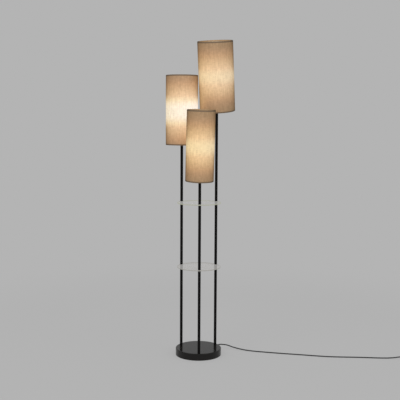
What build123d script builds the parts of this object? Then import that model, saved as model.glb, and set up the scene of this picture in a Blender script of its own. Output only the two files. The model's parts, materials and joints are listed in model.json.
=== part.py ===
from build123d import *
from math import asin, atan2, cos, hypot, pi, radians, sin, sqrt, tan
import os

# Millimetres, +Z up, origin on the floor under the middle of the base. +X is the lamp's right, -Y its front.

# Fits
LOOSE = 0.3  # round a piece that drops in
SNUG = 0.1  # round a piece that screws or clips in
RUNNING = 0.06  # round a pin that turns

# Base
BASE_RADIUS = 116.5
BASE_HEIGHT = 36.0
COVER_WALL = 1.5
COVER_EDGE = 3.0
COVER_FLOOR_GAP = 1.0
PAD_THICKNESS = 2.5
PAD_INSET = 6.0
PLATE_THICKNESS = 1.5
WEIGHT_FLOOR = 6.0
POCKET_RADIUS = 42.0
CHANNEL_WIDTH = 22.0
SCREW_COUNT = 3
SCREW_CIRCLE = 62.0
SCREW_FIRST_ANGLE = 90.0
SCREW_RADIUS = 2.5
SCREW_HEAD_RADIUS = 4.5
SCREW_HEAD_HEIGHT = 1.6
SCREW_BITE = 6.0
BOSS_RADIUS = 5.0
BOSS_HEIGHT = 8.0

# Poles and the discs that tie them
POLE_INSET = 14.8  # from the base's rim in to the poles' axes
RIGHT_POLE_ANGLE = 31.6  # degrees round the base from +X
LEFT_POLE_ANGLE = 151.6
FRONT_POLE_ANGLE = 271.6
POLE_RADIUS = 7.0
POLE_BORE_RADIUS = 4.5
NIPPLE_RADIUS = 5.0
NIPPLE_BORE_RADIUS = 3.5
NIPPLE_BITE = 14.0
NIPPLE_TIP = 1.0
NUT_ACROSS_FLATS = 14.0
NUT_HEIGHT = 4.0
LOWER_DISC_TOP = 459.0
UPPER_DISC_TOP = 786.0
DISC_MARGIN = 8.3  # from the poles' axes out to the discs' rims
DISC_THICKNESS = 5.0
DISC_EDGE = 0.6
GASKET_THICKNESS = 0.6

# Lampholders, measured from the face that the shade's gimbal ring sits on
HOLDER_RADIUS = 19.5
HOLDER_BORE_RADIUS = 14.2
HOLDER_SKIRT = 28.0
HOLDER_FLANGE_RADIUS = 23.0
HOLDER_FLANGE_HEIGHT = 4.0
HOLDER_FLOOR_TOP = -2.0
HOLDER_FLOOR_THICKNESS = 4.0
HOLDER_WALL = 3.0
HOLDER_DEPTH = 14.0
CAP_HEIGHT = 22.0
CAP_NECK_RADIUS = 8.5
CAP_NECK_HEIGHT = 8.0
CAP_WALL = 2.5
CLAMP_RADIUS = 22.8
CLAMP_HEIGHT = 9.0
CLAMP_FLANGE_RADIUS = 24.5
CLAMP_FLANGE_HEIGHT = 2.5
SCREW_SHELL_WALL = 0.5
SCREW_SHELL_HEIGHT = 22.0
CONTACT_RADIUS = 3.0

# Bulbs, a standard screw cap and a pear-shaped globe
BULB_CAP_RADIUS = 13.1
BULB_CAP_WALL = 1.0
BULB_CAP_LENGTH = 25.0
BULB_TIP_HEIGHT = 3.0
BULB_TIP_RADIUS = 4.5
BULB_INSULATOR_HEIGHT = 6.0
BULB_NECK_RADIUS = 14.0
BULB_NECK_HEIGHT = 6.0
BULB_RADIUS = 30.0
BULB_LENGTH = 105.0
BULB_WALL = 1.2

# Shades
SHADE_HEIGHT = 350.0
RIGHT_SHADE_RADIUS = 89.0
LEFT_SHADE_RADIUS = 81.0
FRONT_SHADE_RADIUS = 70.0
RIGHT_SHADE_BOTTOM = 1243.0
LEFT_SHADE_BOTTOM = 1072.5
FRONT_SHADE_BOTTOM = 900.0
RIGHT_LEAN = 8.4  # degrees from upright
LEFT_LEAN = 0.0
FRONT_LEAN = 3.4
RIGHT_GIMBAL_YAW = -17.9  # degrees from +X to the pivot line
LEFT_GIMBAL_YAW = 0.0
FRONT_GIMBAL_YAW = 20.0
SHADE_WALL = 1.0
WIRE_RADIUS = 1.5
HEM_HEIGHT = 7.0
HEM_ROLL = 2.2
WIRE_FIT = 0.2
GIMBAL_HEIGHT = 90.0  # from the shade's lower rim up to its pivots
GIMBAL_THICKNESS = 2.0
GIMBAL_RADIUS = 27.0
PIVOT_RADIUS = 1.4
CARRIER_RADIUS = 32.5
EYELET_WALL = 1.6
EYELET_LENGTH = 6.0
SPOKE_COUNT = 3
SPOKE_FIRST_ANGLE = 90.0  # degrees from the pivot line

# Wiring in the base and the poles
LEAD_RADIUS = 2.5
LEAD_BEND = 10.0
BLOCK_RADIUS = 30.0
BLOCK_HEIGHT = 16.0
BLOCK_SOCKET = 4.0

# Mains cord, with its entry in the base's side
CORD_RADIUS = 3.0
ENTRY_ANGLE = 44.0
ENTRY_HEIGHT = 20.0
ENTRY_NECK_RADIUS = 5.0
ENTRY_FLANGE_RADIUS = 8.0
ENTRY_FLANGE_THICKNESS = 3.0
ENTRY_SLEEVE_RADIUS = 6.0
ENTRY_TIP_RADIUS = 4.2
ENTRY_LENGTH = 24.0
ENTRY_STRAIGHT = 16.0
ARC_SHARE = 0.45  # of the shorter run beside a corner, taken up by the corner's arc

# Foot switch on the cord
SWITCH_LENGTH = 72.0
SWITCH_WIDTH = 34.0
SWITCH_HEIGHT = 25.0
SWITCH_CORNER = 14.0
SWITCH_EDGE = 4.0
SWITCH_WALL = 2.0
SWITCH_NOSE = 20.0
SWITCH_NOSE_RADIUS = 8.0
SWITCH_NOSE_TIP_RADIUS = 4.4
BUTTON_RADIUS = 13.0
BUTTON_PROUD = 5.0
BUTTON_FLANGE = 1.8
BUTTON_FLANGE_HEIGHT = 4.0
BUTTON_EDGE = 1.5
BUTTON_SEAT = 0.2

# Coil of the spare cord, and its tie
COIL_RADIUS = 40.0
COIL_PITCH = 7.0
COIL_HALF_TURNS = 3  # in each layer
COIL_LAYER = 6.5
COIL_LEAD = 45.0
COIL_FLOOR_GAP = 1.0
GAP_SAMPLES = 700  # points along the coil for its least gap
GAP_STRETCH = 6.0  # cord radii along the coil that are too near to count as a gap
TIE_THICKNESS = 0.8
TIE_WIDTH = 8.0
TIE_FIT = 1.3

# Plug with two round pins
PLUG_LEAD = 48.0
PLUG_LENGTH = 34.0
PLUG_WIDTH = 35.0
PLUG_THICKNESS = 13.7
PLUG_REAR_WIDTH = 15.0
PLUG_REAR_THICKNESS = 11.0
PLUG_CORNER = 5.0
PLUG_SLEEVE = 14.0
PLUG_TIP_RADIUS = 4.2
PIN_RADIUS = 2.0
PIN_LENGTH = 19.0
PIN_SPACING = 18.6

# Heights and places that follow from the sizes above
POLE_CIRCLE = BASE_RADIUS - POLE_INSET
DISC_RADIUS = POLE_CIRCLE + DISC_MARGIN
COVER_TOP_UNDERSIDE = BASE_HEIGHT - COVER_WALL
PLATE_TOP = PAD_THICKNESS + PLATE_THICKNESS
POCKET_FLOOR = PLATE_TOP + WEIGHT_FLOOR
COVER_BORE = BASE_RADIUS - COVER_WALL
LEAD_HEIGHT = POCKET_FLOOR + BLOCK_HEIGHT / 2 - LEAD_RADIUS
HEM_WIDTH = 2 * (SHADE_WALL + WIRE_RADIUS + WIRE_FIT)
ROW_SPACE = COIL_FLOOR_GAP + CORD_RADIUS
SWITCH_CORD_HEIGHT = ROW_SPACE + COIL_LAYER
UP = (Align.CENTER, Align.CENTER, Align.MIN)

# The cord's free run, from its entry to the foot switch
ENTRY_TIP = BASE_RADIUS + ENTRY_LENGTH
STRAIGHT_END = ENTRY_TIP + ENTRY_STRAIGHT
CORD_ROUTE = [
    (ENTRY_TIP * cos(radians(ENTRY_ANGLE)), ENTRY_TIP * sin(radians(ENTRY_ANGLE)), ENTRY_HEIGHT),
    (STRAIGHT_END * cos(radians(ENTRY_ANGLE)), STRAIGHT_END * sin(radians(ENTRY_ANGLE)), ENTRY_HEIGHT),
    (128.4, 114.5, 18.6),
    (145.2, 112.6, 16.2),
    (159.9, 103.2, 13.0),
    (176.0, 90.0, 9.8),
    (202.0, 76.5, 7.0),
    (240.0, 60.0, 4.6),
    (280.0, 46.0, 3.2),
    (322.0, 34.5, CORD_RADIUS),
    (378.0, 20.0, CORD_RADIUS),
    (446.0, 3.5, CORD_RADIUS),
    (520.0, -11.5, CORD_RADIUS),
    (592.0, -29.0, CORD_RADIUS),
    (662.0, -43.5, CORD_RADIUS),
    (730.0, -48.5, CORD_RADIUS),
    (800.0, -50.5, CORD_RADIUS),
    (872.0, -56.5, CORD_RADIUS),
    (936.0, -62.5, CORD_RADIUS),
    (986.0, -64.5, 5.0),
    (1022.0, -64.0, SWITCH_CORD_HEIGHT),
    (1046.0, -64.0, SWITCH_CORD_HEIGHT),
]
SWITCH_X, SWITCH_Y, _ = CORD_ROUTE[-1]
COIL_X = SWITCH_X + SWITCH_LENGTH + 2 * SWITCH_NOSE + COIL_LEAD


def rod(radius, bottom, top):
    """A round bar on the Z axis between two heights."""
    return Pos(0, 0, bottom) * Cylinder(radius, top - bottom, align=UP)


def pipe(outer, inner, bottom, top):
    """A tube on the Z axis between two heights."""
    return rod(outer, bottom, top) - rod(inner, bottom, top)


def turned(*outline):
    """A solid of revolution about Z, from a closed outline of (radius, height) edges."""
    return revolve(Plane.XZ * make_face(outline), Axis.Z)


def turned_points(*points):
    """A solid of revolution about Z, from the corners of its (radius, height) outline."""
    return turned(*Polyline(*points, close=True).edges())


def bar_between(start, end, radius):
    """A round bar from one point to another."""
    along = Vector(end) - Vector(start)
    return Plane(Vector(start), z_dir=along) * Cylinder(radius, along.length, align=UP)


def spread(count, first=0.0):
    """Angles of a number of places round a circle, in degrees."""
    return [first + 360 / count * i for i in range(count)]


def on_circle(radius, angle):
    """The location at an angle on a circle on the floor, not turned."""
    return Pos(radius * cos(radians(angle)), radius * sin(radians(angle)), 0)


def pole_places():
    """Each pole's name and its angle round the base."""
    return {"right": RIGHT_POLE_ANGLE, "left": LEFT_POLE_ANGLE, "front": FRONT_POLE_ANGLE}


def swept_cord(path, radius):
    """A round tube along a path."""
    section = Plane(path @ 0, z_dir=path % 0) * Circle(radius)
    return sweep(section, path=path)


def route_path(points, name):
    """Straight runs joined by the largest arcs that they allow, with the arcs' radii printed."""
    vectors = [Vector(p) for p in points]
    runs = [b - a for a, b in zip(vectors, vectors[1:])]
    radii = []
    for before, after in zip(runs, runs[1:]):
        half_turn = radians(before.get_angle(after) / 2)
        radii.append(ARC_SHARE * min(before.length, after.length) / tan(half_turn))
    print(name, "radii", [round(r) for r in radii])
    return FilletPolyline(*points, radius=radii)


def tell_volume(name, solid, path, radius):
    """Prints a tube's length, and its volume as a share of its section times its length."""
    plain = pi * radius**2 * path.length
    print(name, "length", round(path.length, 1), "volume ratio", round(solid.volume / plain, 4))


def base():
    """The cover, weight, plate, pad, plate screws and pole nuts."""
    screw_places = [on_circle(SCREW_CIRCLE, a) for a in spread(SCREW_COUNT, SCREW_FIRST_ANGLE)]
    poles = [on_circle(POLE_CIRCLE, a) for a in pole_places().values()]
    entry_cut = Rot(0, 0, ENTRY_ANGLE) * Pos(0, 0, ENTRY_HEIGHT) * Rot(0, 90, 0)

    edge_start = (BASE_RADIUS, BASE_HEIGHT - COVER_EDGE)
    edge_end = (BASE_RADIUS - COVER_EDGE, BASE_HEIGHT)
    cover = turned(
        Line((BASE_RADIUS, COVER_FLOOR_GAP), edge_start),
        TangentArc(edge_start, edge_end, tangent=(0, 1)),
        Polyline(
            edge_end,
            (0, BASE_HEIGHT),
            (0, COVER_TOP_UNDERSIDE),
            (COVER_BORE, COVER_TOP_UNDERSIDE),
            (COVER_BORE, COVER_FLOOR_GAP),
            (BASE_RADIUS, COVER_FLOOR_GAP),
        ),
    )
    boss_bottom = COVER_TOP_UNDERSIDE - BOSS_HEIGHT
    cover += [p * rod(BOSS_RADIUS, boss_bottom, COVER_TOP_UNDERSIDE) for p in screw_places]
    cover -= [p * rod(SCREW_RADIUS + SNUG, boss_bottom, COVER_TOP_UNDERSIDE) for p in screw_places]
    cover -= [p * rod(NIPPLE_RADIUS + SNUG, 0, BASE_HEIGHT) for p in poles]
    cover -= entry_cut * rod(ENTRY_NECK_RADIUS + SNUG, POCKET_RADIUS, BASE_RADIUS + COVER_WALL)

    weight = rod(COVER_BORE - LOOSE, PLATE_TOP, COVER_TOP_UNDERSIDE)
    weight -= rod(POCKET_RADIUS, POCKET_FLOOR, COVER_TOP_UNDERSIDE)
    channel_depth = COVER_TOP_UNDERSIDE - POCKET_FLOOR
    channel = Pos(BASE_RADIUS / 2, 0, POCKET_FLOOR) * Box(BASE_RADIUS, CHANNEL_WIDTH, channel_depth, align=UP)
    weight -= [Rot(0, 0, a) * channel for a in (*pole_places().values(), ENTRY_ANGLE)]
    weight -= entry_cut * rod(ENTRY_FLANGE_RADIUS + LOOSE, POCKET_RADIUS, BASE_RADIUS)
    weight -= [p * rod(SCREW_RADIUS + LOOSE, PLATE_TOP, COVER_TOP_UNDERSIDE) for p in screw_places]
    weight -= [p * rod(BOSS_RADIUS + LOOSE, boss_bottom - LOOSE, COVER_TOP_UNDERSIDE) for p in screw_places]

    plate = rod(COVER_BORE - LOOSE, PAD_THICKNESS, PLATE_TOP)
    plate -= [p * rod(SCREW_RADIUS + LOOSE, PAD_THICKNESS, PLATE_TOP) for p in screw_places]
    pad = rod(BASE_RADIUS - PAD_INSET, 0, PAD_THICKNESS)
    pad -= [p * rod(SCREW_HEAD_RADIUS + LOOSE, 0, PAD_THICKNESS) for p in screw_places]

    screw = rod(SCREW_HEAD_RADIUS, PAD_THICKNESS - SCREW_HEAD_HEIGHT, PAD_THICKNESS)
    screw += rod(SCREW_RADIUS, PAD_THICKNESS, boss_bottom + SCREW_BITE)
    nut = extrude(RegularPolygon(NUT_ACROSS_FLATS / 2, 6, major_radius=False), NUT_HEIGHT)
    nut = Pos(0, 0, COVER_TOP_UNDERSIDE - NUT_HEIGHT) * nut - rod(NIPPLE_RADIUS + SNUG, 0, BASE_HEIGHT)
    return {
        "base_cover": cover,
        "base_weight": weight,
        "base_plate": plate,
        "base_pad": pad,
        "base_screws": Compound(children=[p * screw for p in screw_places]),
        "pole_nuts": Compound(children=[p * nut for p in poles]),
    }


def pole_length(bottom, top):
    """One length of pole, tapped at both ends for its nipples."""
    length = pipe(POLE_RADIUS, POLE_BORE_RADIUS, bottom, top)
    tapped = NIPPLE_BITE + NIPPLE_TIP
    for end in (bottom, top - tapped):
        length -= rod(NIPPLE_RADIUS + SNUG, end, end + tapped)
    return length


def holder_seat(shade_bottom):
    """The height of the face that a gimbal ring sits on."""
    return shade_bottom + GIMBAL_HEIGHT - GIMBAL_THICKNESS / 2


def holder_bottom(shade_bottom):
    """The height where a lampholder's cap meets the top of its pole."""
    return holder_seat(shade_bottom) - HOLDER_DEPTH - CAP_HEIGHT


def poles(shade_bottoms):
    """Three lengths for each pole, the hollow nipples that join them, the two discs and their gaskets."""
    made = {}
    nipples = []
    gaskets = []
    disc_tops = (LOWER_DISC_TOP, UPPER_DISC_TOP)
    for name, angle in pole_places().items():
        place = on_circle(POLE_CIRCLE, angle)
        starts = [BASE_HEIGHT] + [top + GASKET_THICKNESS for top in disc_tops]
        ends = [top - DISC_THICKNESS - GASKET_THICKNESS for top in disc_tops]
        ends.append(holder_bottom(shade_bottoms[name]))
        for part, start, end in zip(("lower", "middle", "upper"), starts, ends):
            made[f"{name}_pole_{part}"] = place * pole_length(start, end)
        nut_bottom = COVER_TOP_UNDERSIDE - NUT_HEIGHT
        spans = [(nut_bottom - NIPPLE_TIP, BASE_HEIGHT + NIPPLE_BITE)]
        spans += [(end - NIPPLE_BITE, start + NIPPLE_BITE) for end, start in zip(ends, starts[1:])]
        spans += [(ends[-1] - NIPPLE_BITE, ends[-1] + CAP_NECK_HEIGHT)]
        nipples += [place * pipe(NIPPLE_RADIUS, NIPPLE_BORE_RADIUS, low, high) for low, high in spans]
        for top in disc_tops:
            for low in (top, top - DISC_THICKNESS - GASKET_THICKNESS):
                gaskets.append(place * pipe(POLE_RADIUS, NIPPLE_RADIUS + SNUG, low, low + GASKET_THICKNESS))
    for name, top in (("lower_disc", LOWER_DISC_TOP), ("upper_disc", UPPER_DISC_TOP)):
        disc = rod(DISC_RADIUS, top - DISC_THICKNESS, top)
        disc = chamfer(disc.edges(), DISC_EDGE)
        holes = rod(NIPPLE_RADIUS + SNUG, top - DISC_THICKNESS, top)
        made[name] = disc - [on_circle(POLE_CIRCLE, a) * holes for a in pole_places().values()]
    made["pole_nipples"] = Compound(children=nipples)
    made["disc_gaskets"] = Compound(children=gaskets)
    return made


def holder():
    """A lampholder about its seat: cap, body, clamp ring, screw shell and centre contact."""
    floor_bottom = HOLDER_FLOOR_TOP - HOLDER_FLOOR_THICKNESS
    cap_bottom = -HOLDER_DEPTH - CAP_HEIGHT
    inner = HOLDER_RADIUS - HOLDER_WALL
    body = turned_points(
        (inner, -HOLDER_DEPTH),
        (HOLDER_RADIUS, -HOLDER_DEPTH),
        (HOLDER_RADIUS, -HOLDER_FLANGE_HEIGHT),
        (HOLDER_FLANGE_RADIUS, -HOLDER_FLANGE_HEIGHT),
        (HOLDER_FLANGE_RADIUS, 0),
        (HOLDER_RADIUS, 0),
        (HOLDER_RADIUS, HOLDER_SKIRT),
        (HOLDER_BORE_RADIUS, HOLDER_SKIRT),
        (HOLDER_BORE_RADIUS, HOLDER_FLOOR_TOP),
        (0, HOLDER_FLOOR_TOP),
        (0, floor_bottom),
        (inner, floor_bottom),
    )
    neck_top = cap_bottom + CAP_NECK_HEIGHT
    shoulder = (CAP_NECK_RADIUS, cap_bottom + CAP_NECK_HEIGHT / 2)
    rim = (HOLDER_RADIUS, -HOLDER_DEPTH)
    inner_rim = (HOLDER_RADIUS - CAP_WALL, -HOLDER_DEPTH)
    cap = turned(
        Line((NIPPLE_RADIUS + SNUG, cap_bottom), (CAP_NECK_RADIUS, cap_bottom)),
        Line((CAP_NECK_RADIUS, cap_bottom), shoulder),
        TangentArc(rim, shoulder, tangent=(0, -1)),
        Line(rim, inner_rim),
        TangentArc(inner_rim, (CAP_NECK_RADIUS, neck_top), tangent=(0, -1)),
        Line((CAP_NECK_RADIUS, neck_top), (NIPPLE_RADIUS + SNUG, neck_top)),
        Line((NIPPLE_RADIUS + SNUG, neck_top), (NIPPLE_RADIUS + SNUG, cap_bottom)),
    )
    clamp = pipe(CLAMP_RADIUS, HOLDER_RADIUS + SNUG, GIMBAL_THICKNESS, GIMBAL_THICKNESS + CLAMP_HEIGHT)
    clamp += pipe(
        CLAMP_FLANGE_RADIUS, HOLDER_RADIUS + SNUG, GIMBAL_THICKNESS, GIMBAL_THICKNESS + CLAMP_FLANGE_HEIGHT
    )
    shell_radius = HOLDER_BORE_RADIUS - SNUG
    shell = pipe(
        shell_radius, shell_radius - SCREW_SHELL_WALL, HOLDER_FLOOR_TOP, HOLDER_FLOOR_TOP + SCREW_SHELL_HEIGHT
    )
    contact = rod(CONTACT_RADIUS, HOLDER_FLOOR_TOP, BULB_TIP_HEIGHT - SNUG)
    return {"cap": cap, "body": body, "ring": clamp}, [shell, contact]


def globe_outline(neck_radius, radius, rise):
    """A bulb's pear shape: its neck's end, the ball's tangent point, its top and the flank's direction."""
    centre = BULB_TIP_HEIGHT + BULB_LENGTH - BULB_RADIUS
    neck = (neck_radius, rise)
    away = hypot(neck_radius, centre - rise)
    turn = atan2(centre - rise, -neck_radius) - asin(radius / away)
    run = sqrt(away**2 - radius**2)
    tangent = (neck[0] + run * cos(turn), neck[1] + run * sin(turn))
    return neck, tangent, (0, centre + radius), (cos(turn), sin(turn))


def bulb():
    """A bulb about its lampholder's seat: the screw cap and the hollow globe."""
    cap_top = BULB_TIP_HEIGHT + BULB_CAP_LENGTH
    collar = BULB_TIP_HEIGHT + BULB_INSULATOR_HEIGHT
    bore = BULB_CAP_RADIUS - BULB_CAP_WALL
    cap = turned_points(
        (0, BULB_TIP_HEIGHT),
        (BULB_TIP_RADIUS, BULB_TIP_HEIGHT),
        (BULB_CAP_RADIUS, collar),
        (BULB_CAP_RADIUS, cap_top),
        (bore, cap_top),
        (bore, collar + BULB_CAP_WALL),
        (0, collar + BULB_CAP_WALL),
    )
    neck_top = cap_top + BULB_NECK_HEIGHT
    neck, side, top, along = globe_outline(BULB_NECK_RADIUS, BULB_RADIUS, neck_top)
    in_neck, in_side, in_top, in_along = globe_outline(
        BULB_NECK_RADIUS - BULB_WALL, BULB_RADIUS - BULB_WALL, neck_top
    )
    globe = turned(
        Polyline((bore, cap_top), (BULB_CAP_RADIUS, cap_top), neck, side),
        TangentArc(side, top, tangent=along),
        Line(top, in_top),
        TangentArc(in_side, in_top, tangent=in_along),
        Polyline(in_side, in_neck, (bore, cap_top)),
    )
    return {"cap": cap, "globe": globe}


def spoke_ends(shade_radius, angle):
    """Where a spoke meets the lower ring and the carrier ring, about the pivots."""
    ring_radius = shade_radius - HEM_WIDTH / 2
    low = -GIMBAL_HEIGHT + HEM_WIDTH / 2
    side = (cos(radians(angle)), sin(radians(angle)))
    return (
        (ring_radius * side[0], ring_radius * side[1], low),
        (CARRIER_RADIUS * side[0], CARRIER_RADIUS * side[1], 0),
    )


def shade_fabric(radius):
    """The linen cylinder about its pivots, with hems rolled in over the wire rings, notched at the spokes."""
    inner = radius - HEM_WIDTH
    low, high = -GIMBAL_HEIGHT, SHADE_HEIGHT - GIMBAL_HEIGHT
    roll = HEM_ROLL
    fabric = turned(
        Line((radius, low + roll), (radius, high - roll)),
        TangentArc((radius, high - roll), (radius - roll, high), tangent=(0, 1)),
        Line((radius - roll, high), (inner + roll, high)),
        TangentArc((inner + roll, high), (inner, high - roll), tangent=(-1, 0)),
        Polyline(
            (inner, high - roll),
            (inner, high - HEM_HEIGHT),
            (inner + SHADE_WALL, high - HEM_HEIGHT),
            (inner + SHADE_WALL, high - SHADE_WALL),
            (radius - SHADE_WALL, high - SHADE_WALL),
            (radius - SHADE_WALL, low + SHADE_WALL),
            (inner + SHADE_WALL, low + SHADE_WALL),
            (inner + SHADE_WALL, low + HEM_HEIGHT),
            (inner, low + HEM_HEIGHT),
            (inner, low + roll),
        ),
        TangentArc((inner + roll, low), (inner, low + roll), tangent=(-1, 0)),
        Line((inner + roll, low), (radius - roll, low)),
        TangentArc((radius - roll, low), (radius, low + roll), tangent=(1, 0)),
    )
    spokes = [spoke_ends(radius, a) for a in spread(SPOKE_COUNT, SPOKE_FIRST_ANGLE)]
    return fabric - [bar_between(*ends, WIRE_RADIUS + WIRE_FIT) for ends in spokes]


def shade_frame(radius):
    """The wire frame about its pivots: lower ring, spokes, carrier ring and eyelets on the gimbal's pins."""
    spokes = [spoke_ends(radius, a) for a in spread(SPOKE_COUNT, SPOKE_FIRST_ANGLE)]
    frame = Pos(0, 0, -GIMBAL_HEIGHT + HEM_WIDTH / 2) * Torus(radius - HEM_WIDTH / 2, WIRE_RADIUS)
    frame += Torus(CARRIER_RADIUS, WIRE_RADIUS)
    frame += [bar_between(*ends, WIRE_RADIUS) for ends in spokes]
    bore = PIVOT_RADIUS + RUNNING
    half = EYELET_LENGTH / 2
    for turn in (90, -90):
        across = Rot(0, turn, 0)
        frame += across * rod(bore + EYELET_WALL, CARRIER_RADIUS - half, CARRIER_RADIUS + half)
    for turn in (90, -90):
        frame -= Rot(0, turn, 0) * rod(bore, CARRIER_RADIUS - EYELET_LENGTH, CARRIER_RADIUS + EYELET_LENGTH)
    return frame


def gimbal_ring():
    """The flat ring about the pivots that the lampholder clamps, with a pivot pin at each side."""
    half = GIMBAL_THICKNESS / 2
    ring = pipe(GIMBAL_RADIUS, HOLDER_RADIUS + SNUG, -half, half)
    pin = rod(PIVOT_RADIUS, GIMBAL_RADIUS - GIMBAL_THICKNESS, CARRIER_RADIUS + EYELET_LENGTH / 2)
    return ring + [Rot(0, turn, 0) * pin for turn in (90, -90)]


def lamps(shade_radii, shade_bottoms, leans, yaws):
    """Lampholder, bulb, gimbal ring and shade on each pole."""
    made = {}
    contacts = []
    holder_parts, contact_parts = holder()
    for name, angle in pole_places().items():
        pole = on_circle(POLE_CIRCLE, angle)
        seat = pole * Pos(0, 0, holder_seat(shade_bottoms[name]))
        pivot = pole * Pos(0, 0, shade_bottoms[name] + GIMBAL_HEIGHT) * Rot(0, 0, yaws[name])
        leaning = pivot * Rot(leans[name], 0, 0)
        for part, shape in holder_parts.items():
            made[f"{name}_holder_{part}"] = seat * shape
        contacts += [seat * shape for shape in contact_parts]
        for part, shape in bulb().items():
            made[f"{name}_bulb_{part}"] = seat * shape
        radius = shade_radii[name]
        ring_height = SHADE_HEIGHT - GIMBAL_HEIGHT - HEM_WIDTH / 2
        top_ring = Pos(0, 0, ring_height) * Torus(radius - HEM_WIDTH / 2, WIRE_RADIUS)
        made[f"{name}_gimbal_ring"] = pivot * gimbal_ring()
        made[f"{name}_shade_fabric"] = leaning * shade_fabric(radius)
        made[f"{name}_shade_top_ring"] = leaning * top_ring
        made[f"{name}_shade_frame"] = leaning * shade_frame(radius)
    made["holder_contacts"] = Compound(children=contacts)
    return made


def wiring(shade_bottoms):
    """The terminal block in the base, and a lead from it up each pole to its lampholder."""
    block = rod(BLOCK_RADIUS, POCKET_FLOOR, POCKET_FLOOR + BLOCK_HEIGHT)
    sockets = [(a, LEAD_HEIGHT, LEAD_RADIUS) for a in pole_places().values()]
    sockets.append((ENTRY_ANGLE, ENTRY_HEIGHT, CORD_RADIUS))
    for angle, height, radius in sockets:
        outwards = Rot(0, 0, angle) * Pos(0, 0, height) * Rot(0, 90, 0)
        block -= outwards * rod(radius + SNUG, BLOCK_RADIUS - BLOCK_SOCKET, BLOCK_RADIUS + BLOCK_SOCKET)
    made = {"terminal_block": block}
    for name, angle in pole_places().items():
        top = holder_seat(shade_bottoms[name]) + HOLDER_FLOOR_TOP - HOLDER_FLOOR_THICKNESS
        path = FilletPolyline(
            (POLE_CIRCLE, 0, top),
            (POLE_CIRCLE, 0, LEAD_HEIGHT),
            (BLOCK_RADIUS - BLOCK_SOCKET, 0, LEAD_HEIGHT),
            radius=LEAD_BEND,
        )
        made[f"{name}_lead"] = Rot(0, 0, angle) * swept_cord(path, LEAD_RADIUS)
    return made


def cord_entry():
    """The strain relief in the base's side, moulded round the cord's end that runs to the terminal block."""
    shell_inside = sqrt(COVER_BORE**2 - ENTRY_FLANGE_RADIUS**2) - SNUG
    sleeve_start = BASE_RADIUS + ENTRY_FLANGE_THICKNESS
    entry = turned_points(
        (0, BLOCK_RADIUS - BLOCK_SOCKET),
        (CORD_RADIUS, BLOCK_RADIUS - BLOCK_SOCKET),
        (CORD_RADIUS, shell_inside - ENTRY_FLANGE_THICKNESS),
        (ENTRY_FLANGE_RADIUS, shell_inside - ENTRY_FLANGE_THICKNESS),
        (ENTRY_FLANGE_RADIUS, shell_inside),
        (ENTRY_NECK_RADIUS, shell_inside),
        (ENTRY_NECK_RADIUS, BASE_RADIUS),
        (ENTRY_FLANGE_RADIUS, BASE_RADIUS),
        (ENTRY_FLANGE_RADIUS, sleeve_start),
        (ENTRY_SLEEVE_RADIUS, sleeve_start),
        (ENTRY_TIP_RADIUS, ENTRY_TIP),
        (0, ENTRY_TIP),
    )
    return Rot(0, 0, ENTRY_ANGLE) * Pos(0, 0, ENTRY_HEIGHT) * Rot(0, 90, 0) * entry


def foot_switch():
    """The switch's two half shells, parted at the cord's height, and its push button."""
    middle = SWITCH_NOSE + SWITCH_LENGTH / 2
    plan = RectangleRounded(SWITCH_LENGTH, SWITCH_WIDTH, SWITCH_CORNER)
    shell = extrude(plan, SWITCH_HEIGHT)
    shell = fillet(shell.faces().sort_by(Axis.Z)[-1].edges(), SWITCH_EDGE)
    inner_plan = RectangleRounded(
        SWITCH_LENGTH - 2 * SWITCH_WALL, SWITCH_WIDTH - 2 * SWITCH_WALL, SWITCH_CORNER - SWITCH_WALL
    )
    for turn in (90, -90):
        nose = Cone(SWITCH_NOSE_RADIUS, SWITCH_NOSE_TIP_RADIUS, SWITCH_NOSE, align=UP)
        nose = Pos(0, 0, SWITCH_LENGTH / 2) * nose + rod(
            SWITCH_NOSE_RADIUS, SWITCH_LENGTH / 2 - SWITCH_WALL, SWITCH_LENGTH / 2
        )
        shell += Pos(0, 0, SWITCH_CORD_HEIGHT) * Rot(0, turn, 0) * nose
    shell -= Pos(0, 0, SWITCH_WALL) * extrude(inner_plan, SWITCH_HEIGHT - 2 * SWITCH_WALL)
    shell -= rod(BUTTON_RADIUS + LOOSE, SWITCH_CORD_HEIGHT, SWITCH_HEIGHT)
    reach = 2 * (SWITCH_LENGTH + SWITCH_NOSE)
    lower_half = Box(reach, SWITCH_WIDTH, SWITCH_CORD_HEIGHT, align=UP)
    ceiling = SWITCH_HEIGHT - SWITCH_WALL - BUTTON_SEAT
    button = rod(BUTTON_RADIUS, ceiling - BUTTON_FLANGE_HEIGHT, SWITCH_HEIGHT + BUTTON_PROUD)
    button = fillet(button.faces().sort_by(Axis.Z)[-1].edges(), BUTTON_EDGE)
    button += rod(BUTTON_RADIUS + BUTTON_FLANGE, ceiling - BUTTON_FLANGE_HEIGHT, ceiling)
    place = Pos(SWITCH_X + middle, SWITCH_Y, 0)
    return {
        "switch_base": place * (shell & lower_half),
        "switch_cover": place * (shell - lower_half),
        "switch_button": place * button,
    }


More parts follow.
